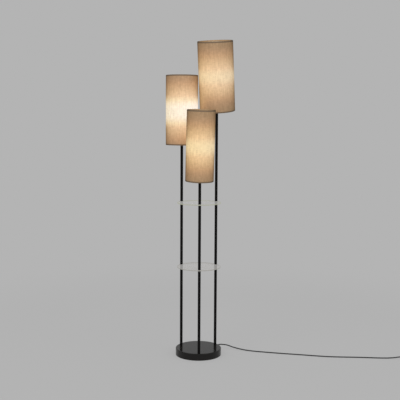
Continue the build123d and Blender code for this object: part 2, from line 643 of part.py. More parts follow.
def coil_path():
    """The spare cord's path: inwards on the upper layer, down in half a turn, outwards on the lower one."""
    upper = SWITCH_CORD_HEIGHT
    lower = ROW_SPACE
    y, z, side = SWITCH_Y, upper, 1
    edges = [Line((COIL_X - COIL_LEAD, y, z), (COIL_X, y, z))]

    def half_turn(radius):
        nonlocal y, side
        over = y + side * 2 * radius
        crest = (COIL_X + side * radius, (y + over) / 2, z)
        edges.append(ThreePointArc((COIL_X, y, z), crest, (COIL_X, over, z)))
        y, side = over, -side

    radii = [COIL_RADIUS - i * COIL_PITCH / 2 for i in range(COIL_HALF_TURNS)]
    for radius in radii:
        half_turn(radius)
    inmost = COIL_RADIUS - COIL_HALF_TURNS * COIL_PITCH / 2
    over = y + side * 2 * inmost
    bulge = sqrt(inmost**2 + (COIL_LAYER / 2) ** 2)
    waist = (COIL_X + side * bulge, (y + over) / 2, (upper + lower) / 2)
    edges.append(TangentArc((COIL_X, y, upper), waist, tangent=(side, 0, 0)))
    edges.append(TangentArc(waist, (COIL_X, over, lower), tangent=edges[-1] % 1))
    y, z, side = over, lower, -side
    for radius in reversed(radii):
        half_turn(radius)
    plug_height = PLUG_THICKNESS / 2
    third = PLUG_LEAD / 3
    out = -side
    tail = [
        (COIL_X, y, lower),
        (COIL_X - out * third, y, lower),
        (COIL_X - out * 2 * third, y, plug_height),
        (COIL_X - out * PLUG_LEAD, y, plug_height),
    ]
    edges += route_path(tail, "plug lead").edges()
    return Wire(edges), y, out


def tell_gap(path, radius):
    """Prints the coil's least gap to itself, from points along its path."""
    points = [path @ (i / GAP_SAMPLES) for i in range(GAP_SAMPLES + 1)]
    apart = int(GAP_STRETCH * radius / path.length * GAP_SAMPLES)
    least = min((a - b).length for i, a in enumerate(points) for b in points[i + apart :])
    print("coil least gap", round(least - 2 * radius, 3))


def cord_tie():
    """The strap round the coil's four strands at the side away from the switch."""
    strands = (COIL_RADIUS - COIL_PITCH - CORD_RADIUS, COIL_RADIUS + CORD_RADIUS)
    width = strands[1] - strands[0] + 2 * TIE_FIT
    low = COIL_FLOOR_GAP - SNUG
    high = SWITCH_CORD_HEIGHT + CORD_RADIUS + SNUG
    height = high - low
    loop = RectangleRounded(width + 2 * TIE_THICKNESS, height + 2 * TIE_THICKNESS, CORD_RADIUS)
    loop -= RectangleRounded(width, height, CORD_RADIUS - TIE_THICKNESS)
    middle = (COIL_X + sum(strands) / 2, SWITCH_Y + COIL_RADIUS + COIL_PITCH / 2, (low + high) / 2)
    return Plane(middle, x_dir=(1, 0, 0), z_dir=(0, -1, 0)) * extrude(loop, TIE_WIDTH / 2, both=True)


def plug(y, out):
    """The plug's moulded body and its two pins, lying flat beside the coil."""
    front = RectangleRounded(PLUG_WIDTH, PLUG_THICKNESS, PLUG_CORNER)
    rear = RectangleRounded(PLUG_REAR_WIDTH, PLUG_REAR_THICKNESS, PLUG_CORNER)
    body = loft([Pos(0, 0, PLUG_SLEEVE) * rear, Pos(0, 0, PLUG_SLEEVE + PLUG_LENGTH) * front], ruled=True)
    body += Cone(PLUG_TIP_RADIUS, PLUG_REAR_THICKNESS / 2, PLUG_SLEEVE, align=UP)
    face = PLUG_SLEEVE + PLUG_LENGTH
    pin = rod(PIN_RADIUS, face, face + PIN_LENGTH)
    pin = fillet(pin.faces().sort_by(Axis.Z)[-1].edges(), PIN_RADIUS / 2)
    pins = [Pos(side * PIN_SPACING / 2, 0, 0) * pin for side in (-1, 1)]
    place = Plane((COIL_X - out * PLUG_LEAD, y, PLUG_THICKNESS / 2), x_dir=(0, 1, 0), z_dir=(-out, 0, 0))
    return {"plug_body": place * body, "plug_pins": Compound(children=[place * p for p in pins])}


def cord():
    """The cord's free run, foot switch, coil, tie, plug and its entry in the base."""
    run_path = route_path(CORD_ROUTE, "cord run")
    run = swept_cord(run_path, CORD_RADIUS)
    tell_volume("cord run", run, run_path, CORD_RADIUS)
    path, y, out = coil_path()
    coil = swept_cord(path, CORD_RADIUS)
    tell_volume("cord coil", coil, path, CORD_RADIUS)
    tell_gap(path, CORD_RADIUS)
    made = {"cord_entry": cord_entry(), "cord_run": run, "cord_coil": coil, "cord_tie": cord_tie()}
    return made | foot_switch() | plug(y, out)


def lamp():
    """Every piece of the lamp by its name."""
    shade_bottoms = {"right": RIGHT_SHADE_BOTTOM, "left": LEFT_SHADE_BOTTOM, "front": FRONT_SHADE_BOTTOM}
    shade_radii = {"right": RIGHT_SHADE_RADIUS, "left": LEFT_SHADE_RADIUS, "front": FRONT_SHADE_RADIUS}
    leans = {"right": RIGHT_LEAN, "left": LEFT_LEAN, "front": FRONT_LEAN}
    yaws = {"right": RIGHT_GIMBAL_YAW, "left": LEFT_GIMBAL_YAW, "front": FRONT_GIMBAL_YAW}
    made = base() | poles(shade_bottoms) | lamps(shade_radii, shade_bottoms, leans, yaws)
    return made | wiring(shade_bottoms) | cord()


os.makedirs("parts", exist_ok=True)
for node, shape in lamp().items():
    shape.label = node
    export_step(shape, f"parts/{node}.step")
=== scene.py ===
"""A floor lamp with three lit linen shades at stepped heights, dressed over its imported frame."""
import json
import logging
import math
from dataclasses import dataclass
from enum import Enum
from functools import cache
from typing import Any, Sequence

import bmesh
import bpy
from mathutils import Matrix, Vector


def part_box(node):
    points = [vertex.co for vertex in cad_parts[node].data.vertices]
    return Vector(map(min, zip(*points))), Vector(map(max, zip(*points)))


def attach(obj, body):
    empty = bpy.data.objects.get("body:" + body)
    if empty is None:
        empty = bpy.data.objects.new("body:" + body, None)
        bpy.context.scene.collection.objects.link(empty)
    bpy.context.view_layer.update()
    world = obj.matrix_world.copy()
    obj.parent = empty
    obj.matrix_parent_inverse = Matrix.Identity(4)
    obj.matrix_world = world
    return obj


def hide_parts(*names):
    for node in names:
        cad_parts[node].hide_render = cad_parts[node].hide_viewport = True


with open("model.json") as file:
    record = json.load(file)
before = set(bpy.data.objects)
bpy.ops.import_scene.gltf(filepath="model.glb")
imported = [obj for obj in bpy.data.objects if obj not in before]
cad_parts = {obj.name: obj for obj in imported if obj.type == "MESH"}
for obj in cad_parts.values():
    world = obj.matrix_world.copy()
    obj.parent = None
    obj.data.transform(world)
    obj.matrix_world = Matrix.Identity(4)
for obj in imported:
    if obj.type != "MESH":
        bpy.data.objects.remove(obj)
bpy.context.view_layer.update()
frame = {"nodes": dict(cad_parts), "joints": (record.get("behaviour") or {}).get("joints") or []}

LOG = logging.getLogger("floor_lamp")
Colour = tuple[float, float, float]
Point = tuple[float, float, float]
Span = tuple[float, float]
Outline = list[tuple[float, float]]
Stops = Sequence[tuple[float, Colour]]
MM = 0.001
SHARP_CORNER = math.radians(38.0)


class Side(Enum):
    """The three lamps, by the pole that carries them."""

    RIGHT = "right"
    LEFT = "left"
    FRONT = "front"


class Thread(Enum):
    """The way a thread runs in the linen: up the shade or round it."""

    WARP = "warp"
    WEFT = "weft"


class Signal:
    """A value, vector or colour on its way through a material's nodes."""

    def __init__(self, surface: "Surface", socket: bpy.types.NodeSocket) -> None:
        """Keeps the socket and the surface that its node belongs to."""
        self.surface = surface
        self.socket = socket

    def maths(self, operation: str, *values: "Signal | float") -> "Signal":
        """One Math node on these values."""
        return self.surface.node("ShaderNodeMath", dict(enumerate(values)), operation=operation)

    def __add__(self, other: "Signal | float") -> "Signal":
        """The sum."""
        return self.maths("ADD", self, other)

    def __sub__(self, other: "Signal | float") -> "Signal":
        """The difference."""
        return self.maths("SUBTRACT", self, other)

    def __rsub__(self, other: float) -> "Signal":
        """The difference from a number."""
        return self.maths("SUBTRACT", other, self)

    def __mul__(self, other: "Signal | float") -> "Signal":
        """The product."""
        return self.maths("MULTIPLY", self, other)

    def __truediv__(self, other: "Signal | float") -> "Signal":
        """The quotient."""
        return self.maths("DIVIDE", self, other)

    def __neg__(self) -> "Signal":
        """The negative."""
        return self.maths("MULTIPLY", self, -1.0)

    __radd__ = __add__
    __rmul__ = __mul__

    def sine(self) -> "Signal":
        """The sine of an angle in radians."""
        return self.maths("SINE", self)

    def absolute(self) -> "Signal":
        """The size without the sign."""
        return self.maths("ABSOLUTE", self)

    def bell(self) -> "Signal":
        """A bell curve, 1 at zero and falling away on both sides."""
        return self.maths("EXPONENT", -(self * self))

    def away(self, other: "Signal") -> "Signal":
        """The distance from the axis that these two coordinates are measured from."""
        return self.maths("SQRT", self * self + other * other)

    def angle_from(self, other: "Signal") -> "Signal":
        """The angle whose tangent is this over the other, in radians."""
        return self.maths("ARCTAN2", self, other)

    def step(self, start: float, end: float) -> "Signal":
        """A smooth rise from 0 at start to 1 at end.

        Args:
            start: The value where the rise begins.
            end: The value where it is complete; below start, the step falls instead.

        Returns:
            A mask from 0 to 1.
        """
        low, high = sorted((start, end))
        ends = {"To Min": float(start > end), "To Max": float(start < end)}
        sockets = {"Value": self, "From Min": low, "From Max": high, **ends}
        return self.surface.node("ShaderNodeMapRange", sockets, interpolation_type="SMOOTHSTEP")


class Wiring:
    """A node tree that grows one node at a time."""

    def __init__(self, tree: bpy.types.NodeTree) -> None:
        """Keeps the tree."""
        self.tree = tree

    def feed(self, socket: bpy.types.NodeSocket, value: Any) -> None:
        """Links something to a socket or sets its value.

        Args:
            socket: The socket.
            value: A signal or another node's socket, or a number, vector or colour.
        """
        source = value.socket if isinstance(value, Signal) else value
        if isinstance(source, bpy.types.NodeSocket):
            self.tree.links.new(source, socket)
        else:
            is_colour = socket.type == "RGBA" and len(source) == 3
            socket.default_value = (*source, 1.0) if is_colour else source

    def add(self, kind: str, inputs: dict[Any, Any] | None = None, **settings: Any) -> bpy.types.Node:
        """Adds a node, its settings first and then its sockets.

        Args:
            kind: The node's type.
            inputs: Values or links by the socket's name or number.
            settings: The node's own settings; stops are a colour ramp's places and colours.

        Returns:
            The new node.
        """
        node = self.tree.nodes.new(kind)
        for name, value in settings.items():
            if name == "stops":
                self.set_stops(node.color_ramp, value)
            else:
                setattr(node, name, value)
        for key, value in (inputs or {}).items():
            self.feed(node.inputs[key], value)
        return node

    @staticmethod
    def set_stops(ramp: bpy.types.ColorRamp, stops: Stops) -> None:
        """Gives a colour ramp its stops.

        Args:
            ramp: The ramp, which starts with two stops of its own.
            stops: Places from 0 to 1 in order, each with its colour.
        """
        while len(ramp.elements) < len(stops):
            ramp.elements.new(1.0)
        for element, (place, colour) in zip(ramp.elements, stops):
            element.position = place
            element.color = (*colour, 1.0)


class Surface(Wiring):
    """One material's nodes round its shader."""

    # The Mix node's colour sockets, by number, because its other kinds have the same names.
    mix_colours = (6, 7)
    mixed_colour = 2

    def __init__(self, name: str) -> None:
        """Starts a material with a bare shader.

        Args:
            name: The material's name.
        """
        self.material = bpy.data.materials.new(name)
        self.material.use_nodes = True
        super().__init__(self.material.node_tree)
        self.tree.nodes.clear()
        self.shader = self.add("ShaderNodeBsdfPrincipled")
        self.output = self.add("ShaderNodeOutputMaterial", {"Surface": self.shader.outputs[0]})

    def node(
        self, kind: str, inputs: dict[Any, Any] | None = None, output: int | str = 0, **settings: Any
    ) -> Signal:
        """Adds a node and takes one of its outputs.

        Args:
            kind: The node's type.
            inputs: Values or links by the socket's name or number.
            output: The name or number of the output to go on with.
            settings: The node's own settings.

        Returns:
            The output's signal.
        """
        return Signal(self, self.add(kind, inputs, **settings).outputs[output])

    def coat(self, **inputs: Any) -> None:
        """Sets or links the shader's sockets, with underscores for the spaces in their names."""
        for key, value in inputs.items():
            self.feed(self.shader.inputs[key.replace("_", " ")], value)

    def place(self) -> Signal:
        """Object coordinates, which are the lamp's own frame in metres."""
        return self.node("ShaderNodeTexCoord", output="Object")

    def parts(self, vector: Signal) -> list[Signal]:
        """A vector's three numbers."""
        split = self.add("ShaderNodeSeparateXYZ", {0: vector})
        return [Signal(self, socket) for socket in split.outputs]

    def joined(self, x: Signal | float, y: Signal | float, z: Signal | float) -> Signal:
        """A vector from three numbers."""
        return self.node("ShaderNodeCombineXYZ", {0: x, 1: y, 2: z})

    def noise(self, vector: Signal, per_metre: float | Point, detail: float = 2.0) -> Signal:
        """Soft noise about zero.

        Args:
            vector: The coordinates it is laid on.
            per_metre: Grains to the metre, one number or one for each axis.
            detail: Octaves of finer grain.

        Returns:
            A value between about -0.5 and 0.5.
        """
        grain = per_metre if isinstance(per_metre, tuple) else (per_metre,) * 3
        sockets = {"Vector": self.product(vector, grain), "Scale": 1.0, "Detail": detail}
        return self.node("ShaderNodeTexNoise", sockets) - 0.5

    def mix(self, share: Signal, first: Signal | Colour, second: Signal | Colour) -> Signal:
        """A colour between two, the second where the share is 1."""
        sockets = {0: share, **dict(zip(self.mix_colours, (first, second)))}
        return self.node("ShaderNodeMix", sockets, self.mixed_colour, data_type="RGBA")

    def scaled(self, colour: Signal, share: Signal | float) -> Signal:
        """A colour made brighter or darker."""
        return self.node("ShaderNodeVectorMath", {0: colour, "Scale": share}, operation="SCALE")

    def product(self, first: Signal, second: Signal | Point) -> Signal:
        """Two vectors or colours multiplied number by number."""
        return self.node("ShaderNodeVectorMath", {0: first, 1: second}, operation="MULTIPLY")

    def ramp(self, share: Signal, stops: Stops) -> Signal:
        """A colour from a row of stops."""
        return self.node("ShaderNodeValToRGB", {0: share}, stops=stops)

    def relief(self, height: Signal, depth: float) -> None:
        """Raises the surface's grain by a depth in metres."""
        sockets = {"Height": height, "Distance": depth, "Strength": 1.0}
        self.coat(Normal=self.node("ShaderNodeBump", sockets))


@dataclass(frozen=True)
class Finish:
    """How one material of the lamp looks."""

    name: str

    @cache
    def material(self) -> bpy.types.Material:
        """The finish's material, made once.

        Returns:
            The material.
        """
        surface = Surface(self.name)
        self.paint(surface)
        return surface.material

    def paint(self, surface: Surface) -> None:
        """Builds the finish's nodes."""
        raise NotImplementedError

    def dress(self, *names: str) -> None:
        """Gives this finish to nodes of the frame.

        Args:
            names: The nodes' names.
        """
        for name in names:
            materials = frame["nodes"][name].data.materials
            materials.clear()
            materials.append(self.material())
            LOG.info("%s: %s", name, self.name)


@dataclass(frozen=True)
class Grained(Finish):
    """A solid finish: its colour clouded with another, under a fine grain.

    Grain and cloud are so many to the metre, and what they dull is added to the roughness.
    """

    colour: Colour
    roughness: float
    grain: float | Point
    grain_depth: float
    grain_dulls: float
    cloud: float
    cloud_dulls: float
    cloud_reach: Span
    clouds: Colour | None = None
    cloud_cover: float = 1.0
    grain_detail: float = 2.0
    cloud_detail: float = 3.0
    metallic: float = 0.0
    specular: float = 0.5
    paler_share: float = 1.35
    paler_lift: float = 0.004

    def cloud_colour(self) -> Colour:
        """The clouds' own colour, or else a paler one of the finish."""
        return self.clouds or tuple(self.paler_share * c + self.paler_lift for c in self.colour)

    def paint(self, surface: Surface) -> None:
        """Builds the finish's nodes.

        Args:
            surface: The material that they go into.
        """
        place = surface.place()
        grain = surface.noise(place, self.grain, self.grain_detail)
        cloud = surface.noise(place, self.cloud, self.cloud_detail)
        cover = cloud.step(*self.cloud_reach) * self.cloud_cover
        surface.coat(
            Base_Color=surface.mix(cover, self.colour, self.cloud_colour()),
            Roughness=self.roughness + cloud * self.cloud_dulls + grain * self.grain_dulls,
            Metallic=self.metallic,
            Specular_IOR_Level=self.specular,
        )
        surface.relief(grain, self.grain_depth)


@dataclass(frozen=True)
class BlackPaint(Grained):
    """Baked black paint with a fine skin and a breath of dust."""

    grain: float | Point = 700.0
    grain_depth: float = 0.02 * MM
    grain_dulls: float = 0.06
    cloud: float = 18.0
    cloud_dulls: float = 0.12
    cloud_reach: Span = (0.0, 0.3)
    clouds: Colour | None = (0.012, 0.0115, 0.011)
    cloud_cover: float = 0.5
    cloud_detail: float = 4.0


@dataclass(frozen=True)
class Moulded(Grained):
    """Moulded plastic or rubber with a spark-eroded grain."""

    grain: float | Point = 1400.0
    grain_depth: float = 0.03 * MM
    grain_dulls: float = 0.12
    cloud: float = 60.0
    cloud_dulls: float = 0.1
    cloud_reach: Span = (-0.25, 0.3)


@dataclass(frozen=True)
class Metal(Grained):
    """Drawn, turned or plated metal with fine marks along or round it, and faint stains."""

    grain: float | Point = 900.0
    grain_depth: float = 0.015 * MM
    grain_dulls: float = 0.16
    cloud: float = 90.0
    cloud_dulls: float = 0.1
    cloud_reach: Span = (0.05, 0.5)
    clouds: Colour | None = (0.25, 0.22, 0.19)
    cloud_cover: float = 0.5
    metallic: float = 1.0


@dataclass(frozen=True)
class CastIron(Grained):
    """A rough sand casting, dark, with a touch of rust."""

    grain: float | Point = 500.0
    grain_depth: float = 0.25 * MM
    grain_dulls: float = 0.2
    cloud: float = 45.0
    cloud_dulls: float = 0.0
    cloud_reach: Span = (0.05, 0.3)
    clouds: Colour | None = (0.12, 0.055, 0.03)
    grain_detail: float = 4.0
    cloud_detail: float = 5.0
    metallic: float = 0.4


@dataclass(frozen=True)
class Foam(Finish):
    """Closed-cell foam under the base."""

    colour: Colour
    roughness: float = 0.85
    cells_per_metre: float = 900.0
    cell_depth: float = 0.15 * MM
    cell_gloss: float = 0.1
    paler_share: float = 2.0

    def paint(self, surface: Surface) -> None:
        """Builds the foam's nodes.

        Args:
            surface: The material that they go into.
        """
        sockets = {"Vector": surface.place(), "Scale": self.cells_per_metre}
        cells = surface.node("ShaderNodeTexVoronoi", sockets)
        paler = tuple(self.paler_share * c for c in self.colour)
        surface.coat(
            Base_Color=surface.mix(cells, self.colour, paler),
            Roughness=self.roughness - cells * self.cell_gloss,
        )
        surface.relief(cells, self.cell_depth)


@dataclass(frozen=True)
class FrostedAcrylic(Finish):
    """A frosted sheet that half hides what stands behind it, with a sawn edge that gathers light; its face
    and edge glow with painted light.
    """

    radius: float
    # Painted light: the face and the edge give off this glow, standing in for lamplight scattered in the
    # acrylic.
    glow: Colour
    edge_painted_light: Colour
    face: Colour = (0.16, 0.16, 0.165)
    edge: Colour = (0.2, 0.2, 0.19)
    cover: float = 0.4
    edge_cover: float = 0.76
    edge_width: float = 0.9 * MM
    edge_soft: float = 0.4 * MM
    frost_per_metre: float = 1600.0
    frost_depth: float = 0.004 * MM
    saw_per_metre: Point = (260.0, 260.0, 2600.0)
    saw_share: float = 0.12
    cloud_per_metre: float = 25.0
    cloud_share: float = 0.04
    detail: float = 3.0
    roughness: float = 0.75
    frost_dulls: float = 0.1
    edge_gloss: float = 0.3
    index: float = 1.49
    specular: float = 0.1

    def paint(self, surface: Surface) -> None:
        """Builds the acrylic's nodes.

        Args:
            surface: The material that they go into.
        """
        place = surface.place()
        x, y, _ = surface.parts(place)
        rim = self.radius - self.edge_width
        edge = x.away(y).step(rim, rim + self.edge_soft)
        frost = surface.noise(place, self.frost_per_metre, self.detail)
        saw = surface.noise(place, self.saw_per_metre, self.detail)
        cloud = surface.noise(place, self.cloud_per_metre, self.detail)
        grain = 1.0 + cloud * self.cloud_share + saw * edge * self.saw_share
        surface.coat(
            Base_Color=surface.scaled(surface.mix(edge, self.face, self.edge), grain),
            # Emission: painted light on the face and on the sawn edge.
            Emission_Color=surface.scaled(surface.mix(edge, self.glow, self.edge_painted_light), grain),
            Emission_Strength=1.0,
            Roughness=self.roughness + frost * self.frost_dulls - edge * self.edge_gloss,
            Alpha=self.cover + (self.edge_cover - self.cover) * edge,
            IOR=self.index,
            Specular_IOR_Level=self.specular,
        )
        surface.relief(frost + saw * edge, self.frost_depth)


@dataclass(frozen=True)
class OpalGlass(Finish):
    """A lit opal bulb, bright above and dimmer at its neck."""

    neck_height: float
    lit: Colour = (1.0, 0.86, 0.6)
    dim: Colour = (0.62, 0.4, 0.18)
    glass: Colour = (0.82, 0.8, 0.75)
    neck_glass: Colour = (0.7, 0.67, 0.6)
    neck_length: float = 45.0 * MM
    strength: float = 1.4
    roughness: float = 0.22
    cloud_per_metre: float = 40.0
    cloud_share: float = 0.05
    cloud_dulls: float = 0.08
    cloud_depth: float = 0.02 * MM

    def paint(self, surface: Surface) -> None:
        """Builds the glass's nodes.

        Args:
            surface: The material that they go into.
        """
        place = surface.place()
        _, _, z = surface.parts(place)
        glow = (z - self.neck_height).step(0.0, self.neck_length)
        cloud = surface.noise(place, self.cloud_per_metre)
        light = surface.mix(glow, self.dim, self.lit)
        surface.coat(
            Base_Color=surface.mix(glow, self.neck_glass, self.glass),
            Roughness=self.roughness + cloud * self.cloud_dulls,
            Emission_Color=surface.scaled(light, 1.0 + cloud * self.cloud_share),
            Emission_Strength=self.strength,
        )
        surface.relief(cloud, self.cloud_depth)


@dataclass(frozen=True)
class ShadeSpot:
    """Where a shade stands and how it leans, with both angles in radians."""

    pivot: Point
    lean: float
    yaw: float
    radius: float
    below_pivot: float
    height: float

    def matrix(self) -> Matrix:
        """From the upright shade about its pivot to its place on the lamp."""
        turn = Matrix.Rotation(self.yaw, 4, "Z") @ Matrix.Rotation(self.lean, 4, "X")
        return Matrix.Translation(self.pivot) @ turn

    def place(self, surface: Surface) -> Signal:
        """Coordinates about the shade's pivot, upright along its axis."""
        sockets = {"Vector": surface.place(), "Location": self.pivot, "Rotation": (self.lean, 0.0, self.yaw)}
        return surface.node("ShaderNodeMapping", sockets, vector_type="TEXTURE")


@dataclass(frozen=True)
class Glow:
    """How light lies on a shade: its bulb's, by height above the lower rim, and its left neighbour's."""

    height: float
    spread: float
    peak: float
    tint: Colour = (1.0, 1.0, 1.0)
    skew: float = 0.0
    spill: float = 0.0
    spill_height: float = 45.0 * MM
    spill_spread: float = 60.0 * MM
    spill_reach: Span = (-0.1, -1.0)

    def share(self, up_it: Signal, side: Signal) -> Signal:
        """How much of the full light a place on the shade has.

        Args:
            up_it: Its height above the lower rim.
            side: From -1 at the shade's left to 1 at its right.

        Returns:
            The share, 1 in full light.
        """
        spill = ((up_it - self.spill_height) / self.spill_spread).bell() * side.step(*self.spill_reach)
        return ((up_it - self.height) / self.spread).bell() * self.peak + spill * self.spill

    def tinted(self, stops: Stops) -> Stops:
        """A row of colour stops in the light's own tint."""
        return [(place, tuple(c * t for c, t in zip(colour, self.tint))) for place, colour in stops]


@dataclass(frozen=True)
class Linen(Finish):
    """Natural linen lit from behind, with uneven threads, a fuzz that dims its sides, and hems painted
    darker as painted shade, where the rolled hem lets less light through.
    """

    spot: ShadeSpot
    glow: Glow
    hem: float
    lets_through: float = 1.0
    cloth: Colour = (0.5, 0.385, 0.265)
    thick: Colour = (0.34, 0.255, 0.17)
    thick_reach: Span = (-0.35, 0.35)
    # Painted shade: the hems' cloth is darker where the rolled hem lets less light through.
    hem_shaded_cloth: Colour = (0.26, 0.2, 0.145)
    hem_dims: float = 0.72
    hem_soft: float = 0.6 * MM
    hem_depth: Span = (3.2 * MM, 2.0 * MM)
    # Painted light: the left side's light is warmer, from the left neighbour's glow, and the right side's
    # cooler, a painted reflection of the grey studio.
    left_light_tint: Colour = (1.0, 0.96, 0.82)
    right_light_tint: Colour = (0.98, 1.01, 1.05)
    fuzz: Colour = (0.7, 0.69, 0.66)
    fuzz_index: float = 1.02
    fuzz_roughness: float = 0.9
    fuzz_lost: float = 0.75
    fuzz_lost_in: Span = (0.55, 1.0)
    thread_pitch: float = 0.85 * MM
    thread_depth: float = 0.28 * MM
    warp_grain: Point = (260.0, 16.0, 1.0)
    weft_grain: Point = (34.0, 320.0, 1.0)
    blotch_grain: Point = (85.0, 60.0, 1.0)
    detail: float = 3.0
    warp_share: float = 0.6
    weft_share: float = 0.35
    blotch_share: float = 0.45
    uneven_dims: float = 0.9
    uneven_dulls: float = 0.2
    weave_dims: float = 0.05
    weave_darkens: float = 0.12
    weave_raises: float = 0.5
    roughness: float = 0.88
    specular: float = 0.25
    sheen: float = 0.06
    sheen_roughness: float = 0.3
    light: tuple[tuple[float, Colour], ...] = (
        (0.0, (0.1, 0.05, 0.018)),
        (0.15, (0.235, 0.119, 0.06)),
        (0.25, (0.345, 0.187, 0.095)),
        (0.47, (0.512, 0.335, 0.195)),
        (0.64, (0.622, 0.425, 0.27)),
        (0.8, (0.68, 0.555, 0.371)),
        (1.0, (0.732, 0.695, 0.61)),
    )

    def hems(self, up_it: Signal, away: Signal) -> Signal:
        """A mask of both hems.

        Args:
            up_it: Height above the lower rim.
            away: Distance from the shade's axis.

        Returns:
            1 on the outside of a hem and 0 elsewhere.
        """
        middle = self.spot.height / 2
        start = middle - self.hem
        at_rim = (up_it - middle).absolute().step(start - self.hem_soft, start + self.hem_soft)
        return at_rim * away.step(*(self.spot.radius - depth for depth in self.hem_depth))

    def paint(self, surface: Surface) -> None:
        """Builds the linen's nodes.

        Args:
            surface: The material that they go into.
        """
        x, y, z = surface.parts(self.spot.place(surface))
        round_it = x.angle_from(-y) * self.spot.radius
        up_it = z + self.spot.below_pivot
        side = x / self.spot.radius
        flat = surface.joined(round_it, up_it, 0.0)
        grains = (self.warp_grain, self.weft_grain, self.blotch_grain)
        warp, weft, blotch = (surface.noise(flat, grain, self.detail) for grain in grains)
        turn = 2.0 * math.pi / self.thread_pitch
        weave = (round_it * turn).sine() * (up_it * turn).sine()
        uneven = warp * self.warp_share + weft * self.weft_share + blotch * self.blotch_share
        hems = self.hems(up_it, x.away(y))
        share = self.glow.share(up_it, side)
        fuzz = 1.0 - share.step(*self.fuzz_lost_in) * self.fuzz_lost
        through = 1.0 + uneven * self.uneven_dims + weave * self.weave_dims
        through = through * (1.0 - hems * self.hem_dims) * self.lets_through
        # The light is painted brighter on one side by the glow's skew. The fuzz also dims linen that is seen
        # straight on, so the light is raised by as much.
        through = through * (1.0 + side * self.glow.skew) / (1.0 - fuzz * (1.0 - self.fuzz[1]))
        # The light is painted warmer on the left and cooler on the right: painted light from the neighbour
        # and painted reflection of the studio.
        tint = surface.mix(side * 0.5 + 0.5, self.left_light_tint, self.right_light_tint)
        lit = surface.product(surface.ramp(share, self.glow.tinted(self.light)), tint)
        thin = (uneven + weave * self.weave_darkens).step(*self.thick_reach)
        surface.coat(
            Base_Color=surface.mix(hems, surface.mix(thin, self.thick, self.cloth), self.hem_shaded_cloth),
            Roughness=self.roughness + uneven * self.uneven_dulls,
            Emission_Color=surface.scaled(lit, through),
            Emission_Strength=1.0,
            Specular_IOR_Level=self.specular,
            Sheen_Weight=self.sheen,
            Sheen_Roughness=self.sheen_roughness,
            Coat_Weight=fuzz,
            Coat_Roughness=self.fuzz_roughness,
            Coat_IOR=self.fuzz_index,
            Coat_Tint=self.fuzz,
        )
        surface.relief(weave * self.weave_raises + warp + weft, self.thread_depth)


@dataclass(frozen=True)
class ShadeFilm(Finish):
    """The white film that the linen is laid on, lit by the bulb inside it."""

    spot: ShadeSpot
    glow: Glow
    colour: Colour = (0.4, 0.4, 0.39)
    darker_share: float = 0.94
    lit: Colour = (0.62, 0.52, 0.36)
    unlit: Colour = (0.175, 0.165, 0.145)
    wider: float = 1.25
    least_light: float = 0.45
    peak_share: float = 0.45
    roughness: float = 0.5
    grain_per_metre: float = 300.0
    grain_reach: Span = (-0.4, 0.4)
    grain_dulls: float = 0.1
    grain_depth: float = 0.02 * MM

    def paint(self, surface: Surface) -> None:
        """Builds the film's nodes.

        Args:
            surface: The material that they go into.
        """
        place = self.spot.place(surface)
        _, _, z = surface.parts(place)
        off = (z + self.spot.below_pivot - self.glow.height) / (self.glow.spread * self.wider)
        share = off.bell() * (self.least_light + self.peak_share * self.glow.peak)
        grain = surface.noise(place, self.grain_per_metre)
        darker = tuple(self.darker_share * c for c in self.colour)
        surface.coat(
            Base_Color=surface.mix(grain.step(*self.grain_reach), self.colour, darker),
            Roughness=self.roughness + grain * self.grain_dulls,
            Emission_Color=surface.mix(share, self.unlit, self.lit),
            Emission_Strength=1.0,
        )
        surface.relief(grain, self.grain_depth)


@dataclass(frozen=True)
class StudioFloor(Finish):
    """A plain floor that keeps the lamp's shadow and fades into the backdrop far out."""

    level: float
    fade: Span
    near_share: float = 0.74

    def paint(self, surface: Surface) -> None:
        """Builds the floor's nodes.

        Args:
            surface: The material that they go into.
        """
        x, y, _ = surface.parts(surface.place())
        grey = (self.level,) * 3
        surface.coat(Base_Color=grey, Roughness=1.0, Specular_IOR_Level=0.0)
        far = surface.add("ShaderNodeEmission", {"Color": grey, "Strength": 1.0})
        share = self.near_share + (1.0 - self.near_share) * x.away(y).step(*self.fade)
        sockets = {0: share, 1: surface.shader.outputs[0], 2: far.outputs[0]}
        surface.feed(surface.output.inputs["Surface"], surface.node("ShaderNodeMixShader", sockets))


BASE_PAINT = BlackPaint("base_satin_paint", (0.0102, 0.0092, 0.0083), 0.18, specular=0.255)
POLE_PAINT = BlackPaint(
    "pole_matt_paint",
    (0.0069, 0.0064, 0.0062),
    0.55,
    grain_depth=0.006 * MM,
    clouds=(0.0088, 0.0083, 0.008),
    specular=0.05,
)
HOLDER_PLASTIC = Moulded("holder_black_plastic", (0.012, 0.012, 0.013), 0.38)
SWITCH_PLASTIC = Moulded("switch_black_plastic", (0.014, 0.014, 0.015), 0.42)
BUTTON_PLASTIC = Moulded("button_grey_plastic", (0.03, 0.03, 0.032), 0.35)
PLUG_VINYL = Moulded("plug_black_vinyl", (0.013, 0.013, 0.013), 0.5, 900.0)
BLOCK_NYLON = Moulded("block_white_nylon", (0.68, 0.67, 0.62), 0.5)
GLAND_RUBBER = Moulded("gland_black_rubber", (0.016, 0.016, 0.016), 0.6, 800.0)
CORD_VINYL = Moulded("cord_dark_vinyl", (0.022, 0.022, 0.023), 0.48, 1800.0)
LEAD_VINYL = Moulded("lead_pale_vinyl", (0.55, 0.54, 0.5), 0.5)
STRAP_NYLON = Moulded("strap_black_nylon", (0.015, 0.015, 0.016), 0.65, 2200.0, 0.08 * MM)
BRIGHT_ZINC = Metal("bright_zinc", (0.62, 0.62, 0.6), 0.32)
NICKEL = Metal("nickel_plate", (0.66, 0.62, 0.56), 0.22, (300.0, 1500.0, 1500.0))
CAP_ALLOY = Metal("bulb_cap_alloy", (0.72, 0.71, 0.69), 0.3, (120.0, 120.0, 2600.0))
